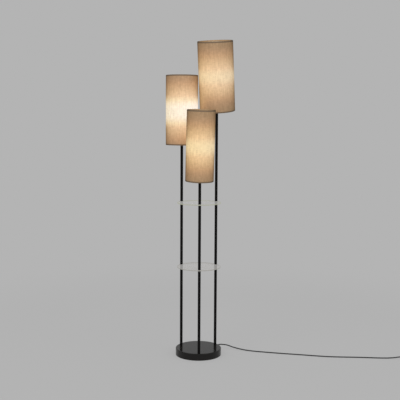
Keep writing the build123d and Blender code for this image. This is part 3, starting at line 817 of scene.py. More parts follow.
BRASS = Metal("spun_brass", (0.72, 0.5, 0.22), 0.3, (200.0, 200.0, 2200.0), clouds=(0.3, 0.17, 0.07))
CAST_IRON = CastIron("cast_iron", (0.045, 0.043, 0.042), 0.75)
PAD_FOAM = Foam("pad_black_foam", (0.012, 0.012, 0.012))


def new_piece(name: str, data: bpy.types.ID) -> bpy.types.Object:
    """Puts a new object in the scene.

    Args:
        name: The piece's name.
        data: Its mesh, curve, light or camera.

    Returns:
        The object, at the origin.
    """
    piece = bpy.data.objects.new(name, data)
    bpy.context.scene.collection.objects.link(piece)
    return piece


def mesh_from(work: bmesh.types.BMesh, name: str) -> bpy.types.Mesh:
    """Makes a mesh of finished bmesh work, and frees that.

    Args:
        work: The finished work.
        name: The mesh's name.

    Returns:
        The mesh.
    """
    mesh = bpy.data.meshes.new(name)
    work.to_mesh(mesh)
    work.free()
    return mesh


def keep_corners(mesh: bpy.types.Mesh) -> None:
    """Smooths a mesh's faces but keeps its corners sharp.

    Args:
        mesh: The mesh.
    """
    work = bmesh.new()
    work.from_mesh(mesh)
    for face in work.faces:
        face.smooth = True
    for edge in work.edges:
        edge.smooth = len(edge.link_faces) == 2 and edge.calc_face_angle(0.0) < SHARP_CORNER
    work.to_mesh(mesh)
    work.free()


def placed_piece(name: str, work: bmesh.types.BMesh, place: Matrix, finish: Finish) -> bpy.types.Object:
    """Makes a piece of finished bmesh work.

    Args:
        name: The piece's name.
        work: The finished work, upright.
        place: From the upright piece to the lamp.
        finish: Its finish.

    Returns:
        The finished piece.
    """
    mesh = mesh_from(work, name)
    mesh.transform(place)
    mesh.materials.append(finish.material())
    keep_corners(mesh)
    return new_piece(name, mesh)


def settle(piece: bpy.types.Object, body: str, slot: str) -> None:
    """Gives a finished piece its body, and logs it with its material slot.

    Args:
        piece: The piece.
        body: The body that it rides on.
        slot: Its material slot.
    """
    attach(piece, body)
    LOG.info("%s: on %s, finish %s", piece.name, body, slot)


class Recipe(Wiring):
    """A Geometry Nodes tree with named sizes, for one piece."""

    # The Random Value node's sockets for a plain number, by number for the same reason as in Surface.
    random_ends = (2, 3)
    random_number = 1

    def __init__(self, name: str, sizes: dict[str, float | int]) -> None:
        """Starts a tree.

        Args:
            name: The piece's name.
            sizes: The named inputs and their values; whole numbers are counts.
        """
        super().__init__(bpy.data.node_groups.new(name, "GeometryNodeTree"))
        self.name = name
        face = self.tree.interface
        face.new_socket("Geometry", in_out="INPUT", socket_type="NodeSocketGeometry")
        face.new_socket("Geometry", in_out="OUTPUT", socket_type="NodeSocketGeometry")
        self.values: dict[str, float | int | bpy.types.Material] = {}
        for label, value in sizes.items():
            kind = "NodeSocketInt" if isinstance(value, int) else "NodeSocketFloat"
            self.values[face.new_socket(label, in_out="INPUT", socket_type=kind).identifier] = value
        finish = face.new_socket("Finish", in_out="INPUT", socket_type="NodeSocketMaterial")
        self.finish_id = finish.identifier
        self.start = self.add("NodeGroupInput")

    def size(self, label: str) -> bpy.types.NodeSocket:
        """A named input's socket."""
        return self.start.outputs[label]

    def node(self, kind: str, inputs: dict[Any, Any] | None = None, **settings: Any) -> bpy.types.NodeSocket:
        """Adds a node and returns its first output."""
        return self.add(kind, inputs, **settings).outputs[0]

    def maths(self, operation: str, *values: Any) -> bpy.types.NodeSocket:
        """One Math node on these values."""
        return self.node("ShaderNodeMath", dict(enumerate(values)), operation=operation)

    def vector(self, *values: Any) -> bpy.types.NodeSocket:
        """A vector from three numbers."""
        return self.node("ShaderNodeCombineXYZ", dict(enumerate(values)))

    def steps(self) -> bpy.types.NodeSocket:
        """The number of gaps in a row of the named count."""
        return self.maths("SUBTRACT", self.size("Count"), 1.0)

    def row(self, axis: str) -> bpy.types.NodeSocket:
        """Points in a row of the named count and length.

        Args:
            axis: The axis that the row follows, X, Y or Z.

        Returns:
            The points' socket.
        """
        gap = self.maths("DIVIDE", self.size("Length"), self.steps())
        offset = self.node("ShaderNodeCombineXYZ", {axis: gap})
        return self.node("GeometryNodeMeshLine", {"Count": self.size("Count"), "Offset": offset})

    def facing(self, vector: bpy.types.NodeSocket) -> bpy.types.NodeSocket:
        """The turn about Z that brings +X towards a vector."""
        kind = "FunctionNodeAlignRotationToVector"
        return self.node(kind, {"Vector": vector}, axis="X", pivot_axis="Z")

    def ball(self, segments: int, rings: int, radius: float) -> bpy.types.NodeSocket:
        """A ball to be scaled."""
        sockets = {"Segments": segments, "Rings": rings, "Radius": radius}
        return self.node("GeometryNodeMeshUVSphere", sockets)

    def random(self, low: Any, high: Any, seed: Any) -> bpy.types.NodeSocket:
        """A random number between two, another one for each point."""
        sockets = {**dict(zip(self.random_ends, (low, high))), "Seed": seed}
        return self.add("FunctionNodeRandomValue", sockets, data_type="FLOAT").outputs[self.random_number]

    def circle(self, points: int, radius: bpy.types.NodeSocket) -> bpy.types.NodeSocket:
        """A round curve."""
        return self.node("GeometryNodeCurvePrimitiveCircle", {"Resolution": points, "Radius": radius})

    def copies(self, points: Any, shape: Any, **changes: Any) -> bpy.types.NodeSocket:
        """The shape at every point, with the Rotation or Scale of each copy."""
        return self.node("GeometryNodeInstanceOnPoints", {"Points": points, "Instance": shape, **changes})

    def made(
        self, geometry: bpy.types.NodeSocket, finish: Finish, place: Matrix, on: bpy.types.Mesh | None = None
    ) -> bpy.types.Object:
        """Ends the tree and makes a plain mesh of it.

        Args:
            geometry: The socket with the copies.
            finish: The piece's finish.
            place: From the tree's own frame to the lamp's.
            on: The mesh that the tree works on, if any.

        Returns:
            The finished piece, with no modifier left on it.
        """
        real = self.node("GeometryNodeRealizeInstances", {0: geometry})
        smooth = self.node("GeometryNodeSetShadeSmooth", {"Geometry": real, "Shade Smooth": True})
        sockets = {"Geometry": smooth, "Material": self.size("Finish")}
        self.add("NodeGroupOutput", {0: self.node("GeometryNodeSetMaterial", sockets)})
        piece = new_piece(self.name, on or bpy.data.meshes.new(self.name))
        modifier = piece.modifiers.new("recipe", "NODES")
        modifier.node_group = self.tree
        for identifier, value in (self.values | {self.finish_id: finish.material()}).items():
            modifier[identifier] = value
        graph = bpy.context.evaluated_depsgraph_get()
        mesh = bpy.data.meshes.new_from_object(piece.evaluated_get(graph), depsgraph=graph)
        piece.modifiers.clear()
        piece.data = mesh
        mesh.name = self.name
        mesh.transform(place)
        keep_corners(mesh)
        return piece


@dataclass(frozen=True)
class Ribs:
    """Upright ribs round a ring: each is so deep, wide and high."""

    count: int
    radius: float
    rib: Point

    def build(self, name: str, finish: Finish, place: Matrix) -> bpy.types.Object:
        """Makes the ribs.

        Args:
            name: The piece's name.
            finish: Its finish.
            place: From the ring's middle to the lamp.

        Returns:
            The finished piece.
        """
        box = dict(zip(("Depth", "Width", "Height"), self.rib))
        recipe = Recipe(name, {"Count": self.count, "Radius": self.radius, **box})
        sockets = {"Vertices": recipe.size("Count"), "Radius": recipe.size("Radius")}
        circle = recipe.node("GeometryNodeMeshCircle", sockets)
        shape = recipe.node("GeometryNodeMeshCube", {"Size": recipe.vector(*map(recipe.size, box))})
        turn = recipe.facing(recipe.node("GeometryNodeInputPosition"))
        return recipe.made(recipe.copies(circle, shape, Rotation=turn), finish, place)


@dataclass(frozen=True)
class Rings:
    """Round rings in a row along +Z, from the first radius to the last, of a round wire."""

    count: int
    length: float
    radii: Span
    wire: float
    ring_points: int = 40
    wire_points: int = 8

    def build(self, name: str, finish: Finish, place: Matrix) -> bpy.types.Object:
        """Makes the rings.

        Args:
            name: The piece's name.
            finish: Its finish.
            place: From the first ring's middle to the lamp.

        Returns:
            The finished piece.
        """
        first, last = self.radii
        sizes = {"Count": self.count, "Length": self.length, "First": first, "Last": last, "Wire": self.wire}
        recipe = Recipe(name, sizes)
        along = recipe.maths("DIVIDE", recipe.node("GeometryNodeInputIndex"), recipe.steps())
        taper = recipe.maths("DIVIDE", recipe.size("Last"), recipe.size("First"))
        share = recipe.maths("MULTIPLY_ADD", along, recipe.maths("SUBTRACT", taper, 1.0), 1.0)
        circle = recipe.circle(self.ring_points, recipe.size("First"))
        section = recipe.circle(self.wire_points, recipe.size("Wire"))
        ring = recipe.node("GeometryNodeCurveToMesh", {"Curve": circle, "Profile Curve": section})
        rings = recipe.copies(recipe.row("Z"), ring, Scale=recipe.vector(share, share, 1.0))
        return recipe.made(rings, finish, place)


@dataclass(frozen=True)
class Grip:
    """Rounded grip bars in a row along +X: each has a width, a reach and a height."""

    count: int
    length: float
    bar: Point

    def build(self, name: str, finish: Finish, place: Matrix) -> bpy.types.Object:
        """Makes the bars.

        Args:
            name: The piece's name.
            finish: Its finish.
            place: From the first bar's middle to the lamp.

        Returns:
            The finished piece.
        """
        box = dict(zip(("Width", "Reach", "Height"), self.bar))
        recipe = Recipe(name, {"Count": self.count, "Length": self.length, **box})
        scale = recipe.vector(*map(recipe.size, box))
        ball = recipe.ball(segments=16, rings=8, radius=0.5)
        return recipe.made(recipe.copies(recipe.row("X"), ball, Scale=scale), finish, place)


@dataclass(frozen=True)
class Slubs:
    """Thick places in the linen's threads, scattered over a shade's wall."""

    thread: Thread
    seed: int
    longest: float
    shortest_share: float = 0.25
    per_square_metre: float = 1100.0
    thickness: float = 0.26 * MM
    width_share: float = 1.6

    def build(self, name: str, wall: bpy.types.Mesh, finish: Finish, place: Matrix) -> bpy.types.Object:
        """Makes the slubs.

        Args:
            name: The piece's name.
            wall: The shade's outer wall, upright about its pivot.
            finish: Their finish.
            place: From the upright shade to its place on the lamp.

        Returns:
            The finished piece.
        """
        sizes = {
            "Per square metre": self.per_square_metre,
            "Thickness": self.thickness,
            "Longest": self.longest,
            "Seed": self.seed,
        }
        recipe = Recipe(name, sizes)
        thick, longest, seed = map(recipe.size, ("Thickness", "Longest", "Seed"))
        sockets = {"Mesh": recipe.size("Geometry"), "Density": recipe.size("Per square metre"), "Seed": seed}
        scatter = recipe.add("GeometryNodeDistributePointsOnFaces", sockets, distribute_method="RANDOM")
        turn = recipe.facing(scatter.outputs["Normal"])
        length = recipe.random(recipe.maths("MULTIPLY", longest, self.shortest_share), longest, seed)
        wide = recipe.maths("MULTIPLY", thick, self.width_share)
        lies = (wide, length) if self.thread is Thread.WARP else (length, wide)
        scale = recipe.vector(thick, *lies)
        ball = recipe.ball(segments=6, rings=4, radius=1.0)
        slubs = recipe.copies(scatter.outputs["Points"], ball, Rotation=turn, Scale=scale)
        return recipe.made(slubs, finish, place, wall)


def arc(centre: Span, radius: float, start: float, end: float, steps: int = 5) -> Outline:
    """Points on an arc in a (radius, height) outline.

    Args:
        centre: The arc's centre.
        radius: Its radius.
        start: Its first angle in degrees, from outwards.
        end: Its last angle.
        steps: How many stretches it has.

    Returns:
        The points, both ends among them.
    """
    angles = [math.radians(start + (end - start) * i / steps) for i in range(steps + 1)]
    return [(centre[0] + radius * math.cos(a), centre[1] + radius * math.sin(a)) for a in angles]


@dataclass
class Base:
    """The round foot with its weight, plate, pad and fixings."""

    paint: Finish = BASE_PAINT

    def dress(self) -> None:
        """Dresses the base's nodes."""
        self.paint.dress("base_cover")
        CAST_IRON.dress("base_weight")
        BRIGHT_ZINC.dress("base_plate", "base_screws", "pole_nuts")
        PAD_FOAM.dress("base_pad")
        BLOCK_NYLON.dress("terminal_block")


@dataclass
class Poles:
    """Three poles in screwed lengths, and the frosted discs that tie them."""

    # Painted light on the discs: the upper disc, nearer the shades, is painted brighter and its edge
    # yellower than the lower one's.
    upper_painted_light: Colour = (0.34, 0.338, 0.325)
    upper_edge_painted_light: Colour = (0.25, 0.258, 0.165)
    lower_painted_light: Colour = (0.325, 0.316, 0.3)
    lower_edge_painted_light: Colour = (0.18, 0.17, 0.15)

    def dress(self) -> None:
        """Dresses the poles, the discs and what holds them."""
        for side in Side:
            POLE_PAINT.dress(*(f"{side.value}_pole_{part}" for part in ("lower", "middle", "upper")))
            LEAD_VINYL.dress(f"{side.value}_lead")
        BRIGHT_ZINC.dress("pole_nipples")
        GLAND_RUBBER.dress("disc_gaskets")
        for name, glow, edge_painted_light in (
            ("upper_disc", self.upper_painted_light, self.upper_edge_painted_light),
            ("lower_disc", self.lower_painted_light, self.lower_edge_painted_light),
        ):
            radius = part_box(name)[1].x
            FrostedAcrylic(f"{name}_frosted_acrylic", radius, glow, edge_painted_light).dress(name)


@dataclass
class Lampholder:
    """A lampholder with its ribbed clamp ring and threaded skirt, and its bulb."""

    side: Side
    gimbal_thickness: float = 2.0 * MM
    clamp_middle: float = 7.75 * MM
    clamp_ribs: Ribs = Ribs(40, 22.8 * MM, (1.2 * MM, 1.5 * MM, 5.7 * MM))
    thread_start: float = 13.2 * MM
    thread: Rings = Rings(6, 13.2 * MM, (19.5 * MM, 19.5 * MM), 0.55 * MM)
    neck_above_seat: float = 34.0 * MM

    def seat(self) -> Vector:
        """Finds the face that the gimbal ring sits on.

        Returns:
            The face's middle.
        """
        low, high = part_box(f"{self.side.value}_gimbal_ring")
        middle = (low + high) / 2
        middle.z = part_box(f"{self.side.value}_holder_ring")[0].z - self.gimbal_thickness
        return middle

    def build(self) -> None:
        """Makes the clamp ring's ribs and the skirt's thread."""
        seat = self.seat()
        for name, shape, rise in (
            ("clamp_ribs", self.clamp_ribs, self.clamp_middle),
            ("skirt_thread", self.thread, self.thread_start),
        ):
            place = Matrix.Translation(seat + Vector((0.0, 0.0, rise)))
            settle(shape.build(f"{self.side.value}_{name}", HOLDER_PLASTIC, place), "stand", "black_plastic")

    def dress(self) -> None:
        """Dresses the holder's, the bulb's and the gimbal ring's nodes."""
        name = self.side.value
        HOLDER_PLASTIC.dress(*(f"{name}_holder_{part}" for part in ("cap", "body", "ring")))
        BRIGHT_ZINC.dress(f"{name}_gimbal_ring")
        CAP_ALLOY.dress(f"{name}_bulb_cap")
        OpalGlass(f"{name}_opal_glass", self.seat().z + self.neck_above_seat).dress(f"{name}_bulb_globe")


@dataclass
class Shade:
    """A linen shade on its wire frame, tilting on the gimbal's pins; its lean is in degrees."""

    side: Side
    radius: float
    lean: float
    glow: Glow
    seed: int
    height: float = 350.0 * MM
    below_pivot: float = 90.0 * MM
    linen_wall: float = 0.6 * MM
    film_wall: float = 0.42 * MM
    film_bond: float = 0.02 * MM
    hem_width: float = 5.4 * MM
    hem_height: float = 7.0 * MM
    hem_roll: float = 2.2 * MM
    lap_width: float = 12.0 * MM
    lap_proud: float = 0.5 * MM
    lap_lets_through: float = 0.62
    lap_steps: int = 8
    fray: float = 0.25 * MM
    fray_per_metre: float = 900.0
    slub_lets_through: float = 0.78
    longest_slubs: Span = (16.0 * MM, 7.0 * MM)
    slubs_below_rim: float = 14.0 * MM
    sway: float = 0.14 * MM
    # For each wave of the sway: how many go round, its radians to the metre upwards, and its share.
    sway_waves: tuple[Point, ...] = ((3.0, 9.0, 1.0), (7.0, -14.0, 0.6))
    segments: int = 160
    levels: int = 28

    def spot(self) -> ShadeSpot:
        """Finds the shade's place from the joint that it tilts on.

        Returns:
            The place.
        """
        joint = next(j for j in frame["joints"] if j["name"] == f"{self.side.value}_shade_tilt")
        yaw = math.atan2(joint["axis"][1], joint["axis"][0])
        pivot = tuple(joint["pos_m"])
        return ShadeSpot(pivot, math.radians(self.lean), yaw, self.radius, self.below_pivot, self.height)

    def finish(self, name: str, lets_through: float) -> Linen:
        """The shade's linen, or a thicker place in it."""
        return Linen(f"{self.side.value}_{name}", self.spot(), self.glow, self.hem_height, lets_through)

    def rises(self) -> list[float]:
        """Works out the wall's levels.

        Returns:
            Heights about the pivot, from one hem's roll to the other's.
        """
        low, high = self.hem_roll - self.below_pivot, self.height - self.below_pivot - self.hem_roll
        return [low + (high - low) * i / self.levels for i in range(self.levels + 1)]

    def linen_outline(self) -> Outline:
        """Draws the linen's section: its wall, and a hem at each rim rolled in over the wire ring.

        Returns:
            (radius, height) points, in order.
        """
        rises = self.rises()
        roll, wall, tuck = self.hem_roll, self.linen_wall, self.hem_height - self.hem_roll
        outer, inner, small = self.radius, self.radius - self.hem_width, roll - wall
        first, last = rises[0], rises[-1]
        outline = [(outer, z) for z in rises]
        outline += arc((outer - roll, last), roll, 0.0, 90.0)[1:]
        outline += arc((inner + roll, last), roll, 90.0, 180.0)
        outline += [(inner, last - tuck), (inner + wall, last - tuck)]
        outline += arc((inner + roll, last), small, 180.0, 90.0)
        outline += arc((outer - roll, last), small, 90.0, 0.0)
        outline += [(outer - wall, z) for z in reversed(rises[:-1])]
        outline += arc((outer - roll, first), small, 0.0, -90.0)[1:]
        outline += arc((inner + roll, first), small, -90.0, -180.0)
        outline += [(inner + wall, first + tuck), (inner, first + tuck)]
        outline += arc((inner + roll, first), roll, -180.0, -90.0)
        return outline + arc((outer - roll, first), roll, -90.0, 0.0)[:-1]

    def film_outline(self) -> Outline:
        """Draws the film's section, between the two hems.

        Returns:
            (radius, height) points, in order.
        """
        outer = self.radius - self.linen_wall + self.film_bond
        inner = outer - self.film_wall
        return [(outer, z) for z in self.rises()] + [(inner, z) for z in reversed(self.rises())]

    def lathe(self, layer: str, outline: Outline, finish: Finish) -> bpy.types.Object:
        """Turns a closed outline about the shade's axis, with the wall's sway.

        Args:
            layer: The layer's name.
            outline: (radius, height) points, in order.
            finish: Its finish.

        Returns:
            The finished piece.
        """
        work = bmesh.new()
        rows = []
        for i in range(self.segments):
            a = 2.0 * math.pi * i / self.segments
            row = []
            for radius, height in outline:
                stray = sum(share * math.sin(n * a + rise * height) for n, rise, share in self.sway_waves)
                r = radius + self.sway * stray
                row.append(work.verts.new((r * math.cos(a), r * math.sin(a), height)))
            rows.append(row)
        for near, far in zip(rows, rows[1:] + rows[:1]):
            for j, k in zip(range(len(outline)), [*range(1, len(outline)), 0]):
                work.faces.new((near[j], far[j], far[k], near[k]))
        bmesh.ops.recalc_face_normals(work, faces=work.faces)
        return placed_piece(f"{self.side.value}_shade_{layer}", work, self.spot().matrix(), finish)

    def lap(self) -> bpy.types.Object:
        """Makes the overlap at the shade's back, where the linen's two ends are glued.

        Returns:
            The finished piece, with both its edges a little frayed.
        """
        low, *_, high = self.rises()
        wide = self.lap_width / self.radius
        r = self.radius + self.sway
        # In the grid, which is 1 wide, points further out than this are on one of the lap's two edges.
        edge = 0.5 - 0.5 / self.lap_steps
        work = bmesh.new()
        bmesh.ops.create_grid(work, x_segments=self.lap_steps, y_segments=self.levels, size=0.5)
        for vert in work.verts:
            a = math.pi / 2 + wide * vert.co.x
            z = low + (high - low) * (vert.co.y + 0.5)
            if abs(vert.co.x) > edge:
                a += self.fray / self.radius * math.sin(self.fray_per_metre * z)
            vert.co = (r * math.cos(a), r * math.sin(a), z)
        bmesh.ops.recalc_face_normals(work, faces=work.faces)
        # The lap is at the back, so its outside looks along +Y.
        if next(iter(work.faces)).normal.y < 0.0:
            bmesh.ops.reverse_faces(work, faces=work.faces)
        bmesh.ops.solidify(work, geom=work.faces[:], thickness=-self.lap_proud)
        bmesh.ops.recalc_face_normals(work, faces=work.faces)
        finish = self.finish("lapped_linen", self.lap_lets_through)
        return placed_piece(f"{self.side.value}_shade_lap", work, self.spot().matrix(), finish)

    def wall(self) -> bpy.types.Mesh:
        """Makes the outer wall between the hems for the slubs to lie on.

        Returns:
            The wall, upright about the shade's pivot.
        """
        work = bmesh.new()
        bmesh.ops.create_cone(
            work,
            cap_ends=False,
            segments=self.segments,
            radius1=self.radius,
            radius2=self.radius,
            depth=self.height - 2.0 * self.slubs_below_rim,
        )
        bmesh.ops.translate(work, verts=work.verts, vec=(0.0, 0.0, self.height / 2 - self.below_pivot))
        return mesh_from(work, f"{self.side.value}_shade_wall")

    def build(self) -> None:
        """Makes the linen, its film, its lap and its slubs."""
        name, spot = self.side.value, self.spot()
        linen = self.lathe("linen", self.linen_outline(), self.finish("lit_linen", 1.0))
        film = self.lathe("film", self.film_outline(), ShadeFilm(f"{name}_white_film", spot, self.glow))
        on_it = [self.lap()]
        slub_finish = self.finish("slub_linen", self.slub_lets_through)
        for number, (thread, longest) in enumerate(zip(Thread, self.longest_slubs)):
            slubs = Slubs(thread, self.seed + number, longest)
            piece_name = f"{name}_shade_{thread.value}_slubs"
            on_it.append(slubs.build(piece_name, self.wall(), slub_finish, spot.matrix()))
        for piece in (linen, film, *on_it):
            settle(piece, f"{name}_shade", "linen")
        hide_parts(f"{name}_shade_fabric")
        turned_in = 2.0 * (self.hem_width + self.hem_height)
        flat = (2.0 * math.pi * self.radius + self.lap_width, self.height + turned_in)

    def dress(self) -> None:
        """Dresses the wire frame's nodes."""
        BRIGHT_ZINC.dress(f"{self.side.value}_shade_top_ring", f"{self.side.value}_shade_frame")


@dataclass
class Cord:
    """The mains cord from the base to its plug, with a foot switch and the spare length coiled."""

    radius: float = 3.0 * MM
    length: float = 1.965
    # Out of the gland, down to the floor and along it, and through the foot switch.
    route: tuple[Point, ...] = (
        (0.10107, 0.0976, 0.02),
        (0.11258, 0.10871, 0.02),
        (0.1284, 0.1145, 0.0172),
        (0.1452, 0.1126, 0.0165),
        (0.1599, 0.1032, 0.015),
        (0.176, 0.09, 0.0122),
        (0.202, 0.0765, 0.0085),
        (0.24, 0.06, 0.0046),
        (0.28, 0.046, 0.0032),
        (0.322, 0.0345, 0.003),
        (0.378, 0.02, 0.003),
        (0.446, 0.0035, 0.003),
        (0.52, -0.0115, 0.003),
        (0.592, -0.029, 0.003),
        (0.662, -0.0435, 0.003),
        (0.73, -0.0485, 0.003),
        (0.8, -0.0505, 0.003),
        (0.872, -0.0565, 0.003),
        (0.936, -0.0625, 0.003),
        (0.986, -0.0645, 0.005),
        (1.022, -0.064, 0.0105),
        (1.046, -0.064, 0.0105),
        (1.158, -0.064, 0.0105),
    )
    points_per_span: int = 6
    bevel_steps: int = 5
    coil_start: Span = (1.203, -0.064)
    coil_heights: Span = (0.0105, 0.004)
    coil_radius: float = 40.0 * MM
    coil_shrink: float = 3.5 * MM
    coil_halves: int = 3
    points_per_half: int = 12
    plug_lead: float = 48.0 * MM
    plug_height: float = 6.85 * MM
    entry_angle: float = 44.0
    entry_start: float = 122.5 * MM
    entry_rings: Rings = Rings(5, 15.0 * MM, (5.75 * MM, 4.5 * MM), 0.7 * MM)
    sleeve_inset: float = 2.5 * MM
    sleeve_rings: Rings = Rings(4, 8.5 * MM, (4.4 * MM, 5.2 * MM), 0.7 * MM)
    plug_grip: Grip = Grip(5, 14.0 * MM, (1.6 * MM, 17.0 * MM, 1.3 * MM))
    plug_grip_start: float = 7.0 * MM
    plug_grip_rise: float = 6.55 * MM
    plug_taper: Span = (1.35 * MM, 34.0 * MM)
    switch_grip: Grip = Grip(4, 9.0 * MM, (1.5 * MM, 18.0 * MM, 1.2 * MM))
    switch_grip_out: float = 24.5 * MM

    def coil(self) -> list[Point]:
        """Winds the coil: inwards on the upper layer, down in half a turn, outwards on the lower.

        Returns:
            The points from the switch's end of the coil to the plug.
        """
        x0, y = self.coil_start
        upper, lower = self.coil_heights
        radii = [self.coil_radius - self.coil_shrink * i for i in range(self.coil_halves + 1)]
        turns = [(r, upper, upper) for r in radii[:-1]] + [(radii[-1], upper, lower)]
        turns += [(r, lower, lower) for r in reversed(radii[:-1])]
        points = [(x0, y, upper)]
        side = 1.0
        for radius, start, end in turns:
            for i in range(1, self.points_per_half + 1):
                share = i / self.points_per_half
                a = math.pi * share
                x = x0 + side * radius * math.sin(a)
                points.append((x, y + side * radius * (1.0 - math.cos(a)), start + (end - start) * share))
            y += side * 2.0 * radius
            side = -side
        heights = (lower, self.plug_height, self.plug_height)
        return points + [(x0 - self.plug_lead * i / len(heights), y, z) for i, z in enumerate(heights, 1)]

    def build(self) -> None:
        """Makes the cord, the rings of its strain reliefs and the grips of its plug and switch."""
        line = bpy.data.curves.new("mains_cord", "CURVE")
        line.dimensions = "3D"
        line.resolution_u = self.points_per_span
        line.bevel_depth = self.radius
        line.bevel_resolution = self.bevel_steps
        line.use_fill_caps = True
        points = [*self.route, *self.coil()]
        spline = line.splines.new("NURBS")
        spline.points.add(len(points) - 1)
        for control, point in zip(spline.points, points):
            control.co = (*point, 1.0)
        spline.order_u = 3
        spline.use_endpoint_u = True
        line.materials.append(CORD_VINYL.material())
        piece = new_piece("mains_cord", line)
        settle(piece, "stand", "cord_jacket")
        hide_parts("cord_run", "cord_coil")
        on_it = ["switch_base", "switch_cover", "switch_button", "cord_tie", "plug_body", "plug_pins"]
        2.0 * self.radius
        [frame["nodes"][name] for name in on_it] + self.reliefs()
        turn = Matrix.Rotation(math.radians(self.entry_angle), 4, "Z") @ Matrix.Rotation(math.pi / 2, 4, "Y")
        foot = Matrix.Translation((0.0, 0.0, self.route[0][2]))
        place = foot @ turn @ Matrix.Translation((0.0, 0.0, self.entry_start))
        settle(self.entry_rings.build("entry_rings", GLAND_RUBBER, place), "stand", "soft_rubber")

    def reliefs(self) -> list[bpy.types.Object]:
        """Makes the rings on the plug's sleeve, and the grip bars on the plug and the switch.

        Returns:
            The finished pieces.
        """
        low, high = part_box("plug_body")
        middle = (low.y + high.y) / 2
        end = Matrix.Translation((high.x - self.sleeve_inset, middle, self.plug_height))
        sleeve = end @ Matrix.Rotation(-math.pi / 2, 4, "Y")
        made = [self.sleeve_rings.build("plug_sleeve_rings", PLUG_VINYL, sleeve)]
        slope = math.atan2(*self.plug_taper)
        for name, sign in (("plug_grip_top", 1.0), ("plug_grip_under", -1.0)):
            height = self.plug_height + sign * self.plug_grip_rise
            start = Matrix.Translation((low.x + self.plug_grip_start, middle, height))
            place = start @ Matrix.Rotation(sign * slope, 4, "Y")
            made.append(self.plug_grip.build(name, PLUG_VINYL, place))
        for piece in made:
            settle(piece, "stand", "cord_jacket")
        low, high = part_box("switch_cover")
        centre = (low + high) / 2
        for name, sign in (("switch_grip_near", -1.0), ("switch_grip_far", 1.0)):
            start = centre.x + sign * self.switch_grip_out - self.switch_grip.length / 2
            place = Matrix.Translation((start, centre.y, high.z))
            made.append(self.switch_grip.build(name, SWITCH_PLASTIC, place))
            settle(made[-1], "stand", "black_plastic")
        return made

    def dress(self) -> None:
        """Dresses the entry, the switch, the tie, the plug and the contacts."""
        GLAND_RUBBER.dress("cord_entry")
        STRAP_NYLON.dress("cord_tie")
        SWITCH_PLASTIC.dress("switch_base", "switch_cover")
        BUTTON_PLASTIC.dress("switch_button")
        PLUG_VINYL.dress("plug_body")
        NICKEL.dress("plug_pins")
        BRASS.dress("holder_contacts")


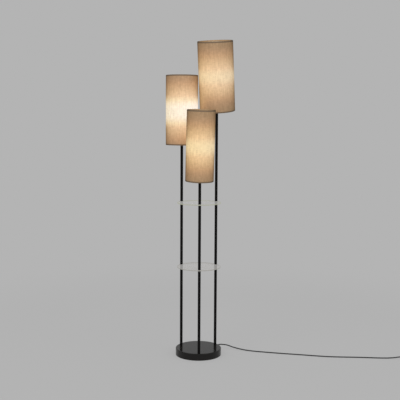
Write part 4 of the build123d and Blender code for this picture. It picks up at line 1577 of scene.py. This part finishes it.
@dataclass
class Studio:
    """A pale grey floor and backdrop, soft light and the camera, whose angles are in degrees."""

    level: float = 0.456
    sky: float = 0.74
    floor_radius: float = 12.0
    floor_fade: Span = (1.2, 2.6)
    floor_segments: int = 96
    lamps: tuple[tuple[str, Point, float], ...] = (
        ("key", (-3.0, -3.4, 4.2), 76.0),
        ("fill", (3.4, -2.6, 3.6), 42.0),
    )
    lamp_size: float = 4.0
    lamp_target: Point = (0.0, 0.0, 0.8)
    eye: Point = (0.0043, -3.9467, 1.2209)
    tilt: float = 6.12
    roll: float = 0.31
    lens: float = 70.83
    sensor: float = 36.0

    def floor(self) -> None:
        """Makes the floor, a round sheet under the lamp."""
        work = bmesh.new()
        bmesh.ops.create_circle(work, cap_ends=True, segments=self.floor_segments, radius=self.floor_radius)
        mesh = mesh_from(work, "studio_floor")
        mesh.materials.append(StudioFloor("studio_floor", self.level, self.floor_fade).material())
        new_piece("studio_floor", mesh)

    def light(self) -> None:
        """Sets the soft sky, the backdrop's grey and two wide lamps."""
        world = bpy.data.worlds.new("studio")
        world.use_nodes = True
        bpy.context.scene.world = world
        wiring = Wiring(world.node_tree)
        wiring.tree.nodes.clear()
        rays = wiring.add("ShaderNodeLightPath").outputs
        seen = rays["Is Camera Ray"]
        for ray in ("Is Glossy Ray", "Is Transmission Ray"):
            seen = wiring.add("ShaderNodeMath", {0: seen, 1: rays[ray]}, operation="MAXIMUM").outputs[0]
        sky, backdrop = (
            wiring.add("ShaderNodeBackground", {"Color": (grey,) * 3, "Strength": 1.0}).outputs[0]
            for grey in (self.sky, self.level)
        )
        both = wiring.add("ShaderNodeMixShader", {0: seen, 1: sky, 2: backdrop})
        wiring.add("ShaderNodeOutputWorld", {"Surface": both.outputs[0]})
        for name, spot, power in self.lamps:
            lamp = bpy.data.lights.new(name, "AREA")
            lamp.shape = "DISK"
            lamp.size = self.lamp_size
            lamp.energy = power
            holder = new_piece(name, lamp)
            holder.location = spot
            aim = Vector(self.lamp_target) - Vector(spot)
            holder.rotation_euler = aim.to_track_quat("-Z", "Y").to_euler()

    def camera(self) -> None:
        """Sets the camera at the eye, tilted down and rolled a little."""
        lens = bpy.data.cameras.new("eye")
        lens.lens = self.lens
        lens.sensor_width = self.sensor
        eye = new_piece("eye", lens)
        tilt = Matrix.Rotation(math.radians(90.0 - self.tilt), 4, "X")
        roll = Matrix.Rotation(math.radians(self.roll), 4, "Z")
        eye.matrix_world = Matrix.Translation(self.eye) @ tilt @ roll
        bpy.context.scene.camera = eye

    def build(self) -> None:
        """Makes the whole studio."""
        self.camera()
        self.floor()
        self.light()
        bpy.context.scene.view_settings.view_transform = "Standard"


def main() -> None:
    """Builds and dresses the lamp, sub-assembly by sub-assembly."""
    logging.basicConfig(level=logging.INFO, format="%(message)s")
    Studio().build()
    cord = Cord()
    cord.build()
    cord.dress()
    Base().dress()
    Poles().dress()
    for side in Side:
        holder = Lampholder(side)
        holder.build()
        holder.dress()
    right = Glow(178.0 * MM, 100.0 * MM, 0.755, (1.0, 0.99, 0.97), skew=-0.05, spill=0.28)
    left = Glow(168.0 * MM, 113.0 * MM, 1.03, (1.02, 1.0, 1.03), skew=0.13)
    front = Glow(172.0 * MM, 99.0 * MM, 0.79, (1.0, 0.99, 0.91), skew=0.02)
    for shade in (
        Shade(Side.RIGHT, radius=89.0 * MM, lean=8.4, glow=right, seed=11),
        Shade(Side.LEFT, radius=81.0 * MM, lean=0.0, glow=left, seed=23),
        Shade(Side.FRONT, radius=70.0 * MM, lean=3.4, glow=front, seed=37),
    ):
        shade.build()
        shade.dress()


if __name__ == "__main__":
    main()
